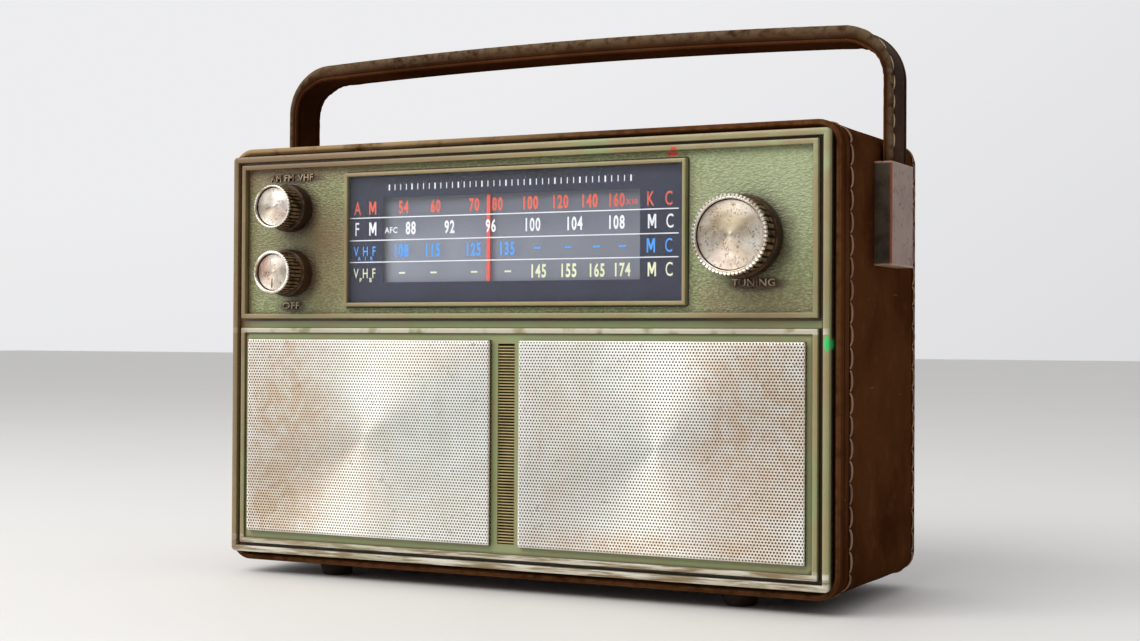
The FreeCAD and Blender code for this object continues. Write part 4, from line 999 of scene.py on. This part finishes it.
# ---- knobs -----------------------------------------------------------------
def knob(name, xz, r_flange, r_skirt, r_ring, r_disc, flutes, teeth, beaded, disc_mat):
    KF, KS, KB = -51, -43.2, -38.2
    depth = 0.5 if r_skirt < 10 else 0.6
    flute = (0, 0, 0, 0, 0, -0.9, -1, -0.2)
    prof = [(3.3, KB, -0.8), (r_flange - 0.5, KB, -0.6), (r_flange - 0.1, KB - 0.15, 0.3), (r_flange, KB - 0.5, 0.5),
            (r_flange - 0.02, KB - 2.4, 0.1), (r_flange - 0.08, KS + 1.1, 0.3), (r_flange - 0.3, KS + 0.45, 0.6),
            (r_flange - 0.75, KS + 0.1, 0.3), (r_skirt + 0.05, KS, 0), (r_skirt, KS - 0.25, 0.85),
            (r_skirt, KS - 0.7, 0.85), (r_skirt, KS - 3.4, 0.85), (r_skirt, KF + 1.5, 0.85),
            (r_skirt - 0.1, KF + 1, 0.5), (r_skirt - 0.35, KF + 0.75, 0.2), (r_disc + 0.2, KF + 0.75, -0.5),
            (r_disc + 0.2, KF + 1.7, -1), (0, KF + 1.75, -1)]
    cut = [0, 0, 0, 0, 0, 0, 0, 0, 0, 0.35, 1, 1, 1, 0.9, 0.2, 0, 0, 0]
    seg = flutes * 8

    # flute valleys get negative values, which knob_brown paints near-black as painted shade
    def mod(t, k):
        q = flute[int(round(t * seg)) % 8] * cut[k]
        return depth * q, 1.9 * q
    v, f, w = lathe(xz, prof, seg, mod)
    b = Build()
    b.part(v, f, w, [1 if i < 8 * seg else 0 for i in range(len(f))])
    b.add(name + "_grip", ["knob_brown", "knob_back"], body=name, slot="knob_brown", cad=[name + "_body"], angle=32)
    # bright ring round the front
    b = Build()
    if beaded:
        seg = teeth * 8
        prof = [(r_disc + 0.2, KF + 1.5, -0.6), (r_disc + 0.2, KF + 0.5, 0), (r_disc + 0.35, KF + 0.28, 0.5),
                (r_disc + 0.55, KF + 0.2, 0.3), (r_disc + 0.8, KF + 0.3, -0.3), (r_ring - 0.75, KF + 0.12, 0.4),
                (r_ring - 0.45, KF, 0.8), (r_ring - 0.1, KF + 0.22, 0.6), (r_ring + 0.02, KF + 0.5, 0.2),
                (r_ring - 0.1, KF + 0.78, -0.5), (r_skirt - 0.3, KF + 0.8, -0.8)]
        amp = [0, 0, 0, 0, 0, 0.18, 0.3, 0.42, 0.5, 0.42, 0]

        def mod(t, k):
            q = abs(sin(pi * t * teeth)) ** 0.6 - 1
            return amp[k] * q, 1.6 * q * (1 if amp[k] else 0)
        b.part(*lathe(xz, prof, seg, mod))
        # inner row of small beads
        for i in range(teeth):
            t = 2 * pi * (i + 0.5) / teeth
            r0 = r_disc + 0.95
            c = (xz[0] + r0 * cos(t), KF + 0.26, xz[1] + r0 * sin(t))
            v = [(c[0] + dr * cos(2 * pi * j / 6), c[1] - h, c[2] + dr * sin(2 * pi * j / 6))
                 for dr, h in ((0.16, 0.12), (0.28, 0)) for j in range(6)]
            v.append((c[0], c[1] - 0.2, c[2]))
            f = [(j, (j + 1) % 6, 6 + (j + 1) % 6, 6 + j) for j in range(6)]
            f += [(12, (j + 1) % 6, j) for j in range(6)]
            b.part(v, f, 0.8)
    else:
        seg = teeth * 6
        prof = [(r_disc + 0.2, KF + 1.5, -0.7), (r_disc + 0.2, KF + 0.35, 0.2), (r_disc + 0.3, KF + 0.1, 0.8),
                (r_disc + 0.5, KF, 0.9), (r_ring - 0.35, KF + 0.02, 0.8), (r_ring - 0.1, KF + 0.15, 0.9),
                (r_ring, KF + 0.4, 0.5), (r_ring - 0.05, KF + 0.75, -0.3), (r_skirt - 0.4, KF + 0.8, -0.7)]
        amp = [0, 0, 0, 0, 0.05, 0.22, 0.26, 0.26, 0]

        def mod(t, k):
            q = 0.5 * cos(2 * pi * t * teeth) - 0.5
            return amp[k] * q, q * (amp[k] > 0.1)
        b.part(*lathe(xz, prof, seg, mod))
    b.add(name + "_bezel", "knob_silver", body=name, slot="knob_silver", cad=[name + "_ring"], angle=50)
    # spun disc, very slightly dished, with a centre point
    b = Build()
    prof = [(0, KF + 1, 0.4), (0.35, KF + 1.06, 0.2), (0.6, KF + 1.16, -0.2)]
    for i in range(1, 15):
        r = 0.6 + (r_disc - 0.75) * i / 14
        prof.append((r, KF + 1.14 + 0.06 * sin(r * 1.4) * (r < r_disc - 1) + 0.1 * (r / r_disc) ** 2, 0))
    prof += [(r_disc, KF + 1.35, -0.7), (r_disc + 0.12, KF + 1.6, -1)]
    b.part(*lathe(xz, prof, 96))
    if name == "volume_knob":
        v, f = tube([(xz[0] - 0.3, KF + 1.1, xz[1] - 2.3), (xz[0] - 0.4, KF + 1.12, xz[1] - 4),
                     (xz[0] - 0.5, KF + 1.18, xz[1] - 5.6)], 0.24, 6, 0.5, (0, -1, 0), 0.3)
        b.part(v, f, -1, 1)
    b.add(name + "_face", [disc_mat, "speaker_dark"], body=name, slot="knob_aluminium", cad=[name + "_disc"],
          angle=30)


knob("band_knob", BAND_XZ, 8.7, 7.7, 7.9, 6.9, 34, 44, False, "disc_band")
knob("volume_knob", VOLUME_XZ, 8.7, 7.7, 7.9, 6.5, 34, 52, False, "disc_volume")
knob("tuning_knob", TUNING_XZ, 13.6, 12.7, 13.1, 11.2, 35, 58, True, "disc_tuning")

# ---- carrying handle -------------------------------------------------------
LEG_END, YC, HALF_W = 64.2, 12.2, 8.4
R_OUT = (104.5 ** 2 + 2.2 ** 2) / (2 * 2.2)
R_IN = (105.3 ** 2 + 2 ** 2) / (2 * 2)
stations = []
for i in range(15):
    z = LEG_END + (94.3 - LEG_END) * i / 14
    k = i / 14
    stations.append(((123, z), (119.6, LEG_END + (93.9 - LEG_END) * k), 0))
for i in range(1, 31):
    t = 0.5 * pi * i / 30
    stations.append(((104.5 + 18.5 * cos(t), 94.3 + 18.5 * sin(t)), (105.3 + 14.3 * cos(t), 93.9 + 14.3 * sin(t)), 1))
for i in range(1, 41):
    x, xi = 104.5 * (1 - i / 40), 105.3 * (1 - i / 40)
    stations.append(((x, 115 - x * x / (2 * R_OUT)), (xi, 110.2 - xi * xi / (2 * R_IN)), 0))
stations += [((-o[0], o[1]), (-i[0], i[1]), b_) for o, i, b_ in stations[-2::-1]]
# cross-section: (offset across, share of the thickness from inner to outer face, wear and painted shade)
half = [(0, 0.94, 0), (2.6, 0.945, 0), (4.9, 0.93, 0.05), (5.9, 0.92, -0.1), (6.2, 0.88, -0.9), (6.6, 0.87, -1),
        (6.95, 0.93, 0.1), (7.25, 0.975, 0.5), (7.5, 1, 0.75), (7.95, 0.95, 0.9), (8.28, 0.85, 0.8), (8.4, 0.68, 0.6),
        (8.4, 0.42, 0.35), (8.36, 0.3, -0.3), (8.25, 0.22, -0.7), (8.28, 0.16, -0.1), (8, 0.05, -0.1), (7.4, 0, -0.2),
        (6.4, 0.02, -0.35), (5.9, 0.07, -0.7), (5.4, 0.03, -0.35), (2.5, 0.02, -0.35), (0, 0.03, -0.35)]
section = half + [(-a, q, w) for a, q, w in half[-2:0:-1]]
run = 0
loops, wear, spine = [], [], []
prev = None
for o, i, bend in stations:
    mid = Vector((0.5 * (o[0] + i[0]), 0, 0.5 * (o[1] + i[1])))
    run += (mid - prev).length if prev else 0
    prev = mid
    near = max(0, 1 - max(0, abs(abs(mid.x) - 112) - 6) / 14) * (1 if mid.z > 88 else max(0, (mid.z - 78) / 10))
    row = []
    # the padding swells on the inside of the bend and under the grip
    thick = math.hypot(o[0] - i[0], o[1] - i[1])
    climb = min(1, max(0, (abs(mid.x) - 119.5) / -6))
    swell = (0.2 + 1.1 * climb * climb * (3 - 2 * climb)) / thick
    for a, q, w in section:
        inner = 1 - q
        crease = near * (0.022 * sin(run * 1.9 + 0.5 * sin(a)) + 0.012 * sin(run * 3.1 + a * 0.3)) * inner
        crease += 0.012 * noise.noise((run * 0.09, a * 0.2, 3)) * (1 - abs(2 * q - 1))
        qq = q + crease - swell * inner
        x, z = i[0] + (o[0] - i[0]) * qq, i[1] + (o[1] - i[1]) * qq
        sway = 0.25 * noise.noise((run * 0.02, 1, 5)) * min(1, max(0, (mid.z - 70) / 20))
        row.append((x, YC + a + sway, z))
        wear.append(w + (0.25 * near if q > 0.9 else 0))
    loops.append(row)
    spine.append((o, i, run))
v, f = skin(loops, caps=True)
# faces on the strap's underside take the lighter copy that is painted against their shade
underside_faces = [1 if len(c) < 5 and max(section[k % len(section)][1] for k in c) < 0.3 else 0 for c in f]
add("handle_strap_cover", v, f, ["handle_leatherette", "handle_lining"], index=underside_faces, body="handle",
    slot="handle_leatherette", cad=["handle_strap"], wear=wear, fix=True, angle=50)
b = Build()
total = spine[-1][2]


def on_strap(s, a, q):
    for (o0, i0, s0), (o1, i1, s1) in zip(spine, spine[1:]):
        if s <= s1:
            k = (s - s0) / max(s1 - s0, 1e-6)
            o = (o0[0] + (o1[0] - o0[0]) * k, o0[1] + (o1[1] - o0[1]) * k)
            i = (i0[0] + (i1[0] - i0[0]) * k, i0[1] + (i1[1] - i0[1]) * k)
            d = Vector((o[0] - i[0], 0, o[1] - i[1]))
            return (i[0] + d.x * q, YC + a, i[1] + d.z * q), d.normalized()
    return None


count = int(total / 6.4)
for k in range(1, count - 1):
    s0 = total * k / count
    pts, nrm = [], []
    for j in range(6):
        t = j / 5
        hump = (4 * t * (1 - t)) ** 0.6
        got = on_strap(s0 + 4.9 * t, -6.55 - 0.2 * hump, 0.875 + 0.105 * hump)
        if got:
            pts.append(got[0])
            nrm.append(tuple(got[1]))
    if len(pts) == 6:
        v, f = tube(pts, 0.45, 6, 0.7, nrm, 0.4)
        b.part(v, f, wear=0.4)
b.add("handle_stitches", "handle_thread", body="handle", slot="handle_leatherette", angle=60)

# ---- CAD nodes that stay: softened edges and finishes ------------------------
SLOT = {"knob_aluminium": "knob_silver", "panel_green": "green_smooth", "grille_aluminium": "knob_silver"}
ROUNDED = {"left_handle_bracket": 0.35, "right_handle_bracket": 0.35, "back_cover": 0.25, "battery_door": 0.25,
           "back_cover_screws": 0.12, "earphone_jack": 0.2, "if_cans": 0.3, "output_transformer": 0.3,
           "chassis_plate": 0.1, "bracket_nuts": 0.15}
for node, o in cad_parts.items():
    mat = o.material_slots[0].material.name
    mat = M.get(SLOT.get(mat, mat), M["steel"])
    for sl in o.material_slots:
        sl.material = mat
    if node in ROUNDED:
        bv = o.modifiers.new("soft_edges", "BEVEL")
        bv.width, bv.segments, bv.limit_method = ROUNDED[node] * MM, 2, "ANGLE"
        bv.angle_limit = math.radians(50)

# ---- stage, lights, camera -------------------------------------------------
bpy.context.scene.view_settings.view_transform = "Standard"
world = bpy.context.scene.world or bpy.data.worlds.new("world")
bpy.context.scene.world = world
world.use_nodes = True
# a pale room, brighter towards the back and overhead, darker to the right
wt = world.node_tree
sky = wt.nodes["Background"]
tc = wt.nodes.new("ShaderNodeTexCoord")
dot = wt.nodes.new("ShaderNodeVectorMath")
dot.operation = "DOT_PRODUCT"
dot.inputs[1].default_value = (-0.55, 0.45, 0.7)
wt.links.new(tc.outputs["Generated"], dot.inputs[0])
rng = wt.nodes.new("ShaderNodeMapRange")
rng.inputs[1].default_value, rng.inputs[2].default_value = -0.6, 0.75
rng.inputs[3].default_value, rng.inputs[4].default_value = 0.12, 0.86
wt.links.new(dot.outputs["Value"], rng.inputs[0])
wt.links.new(rng.outputs[0], sky.inputs[1])
sky.inputs[0].default_value = (0.985, 0.985, 1, 1)

fl = bpy.data.meshes.new("floor")
fl.from_pydata([(-8, -8, 0), (8, -8, 0), (8, 8, 0), (-8, 8, 0)], [], [(0, 1, 2, 3)])
floor = bpy.data.objects.new("floor", fl)
bpy.context.scene.collection.objects.link(floor)
fs = Shade("floor_paint")
fs.set(Base_Color=fs.mix(fs.noise(0.004, 3), (0.72, 0.71, 0.69, 1), (0.68, 0.67, 0.65, 1)), Roughness=0.6)
fl.materials.append(fs.mat)


def area(name, at, size, power, colour):
    d = bpy.data.lights.new(name, "AREA")
    d.shape = "RECTANGLE"
    d.size, d.size_y = size
    d.energy = power
    d.color = colour
    o = bpy.data.objects.new(name, d)
    o.location = at
    o.rotation_euler = (LIT - Vector(at)).to_track_quat("-Z", "Y").to_euler()
    bpy.context.scene.collection.objects.link(o)


LIT = Vector((0, 0, 0.08))       # the point both lamps face
area("key", (-0.44, -1.00, 1.1), (1.5, 0.8), 20.5, (1, 0.985, 0.96))
area("fill", (-1.2, -0.9, 0.4), (0.8, 0.8), 3, (0.97, 0.98, 1))

LENS, EYE = 56.156, (0.2967, -0.5721, 0.0871)
yaw, pitch, roll = math.radians(27.056), math.radians(0.616), math.radians(0.2906)
cam = bpy.data.cameras.new("camera")
cam.lens = LENS
cam.sensor_width = 36
cam.clip_start = 0.01
cam_o = bpy.data.objects.new("camera", cam)
fwd = Vector((-sin(yaw) * cos(pitch), cos(yaw) * cos(pitch), sin(pitch)))
right = Vector((cos(yaw), sin(yaw), 0))
up = right.cross(fwd)
r2 = right * cos(roll) + up * sin(roll)
u2 = -right * sin(roll) + up * cos(roll)
m = Matrix((r2, u2, -fwd)).transposed().to_4x4()
m.translation = EYE
cam_o.matrix_world = m
bpy.context.scene.collection.objects.link(cam_o)
bpy.context.scene.camera = cam_o
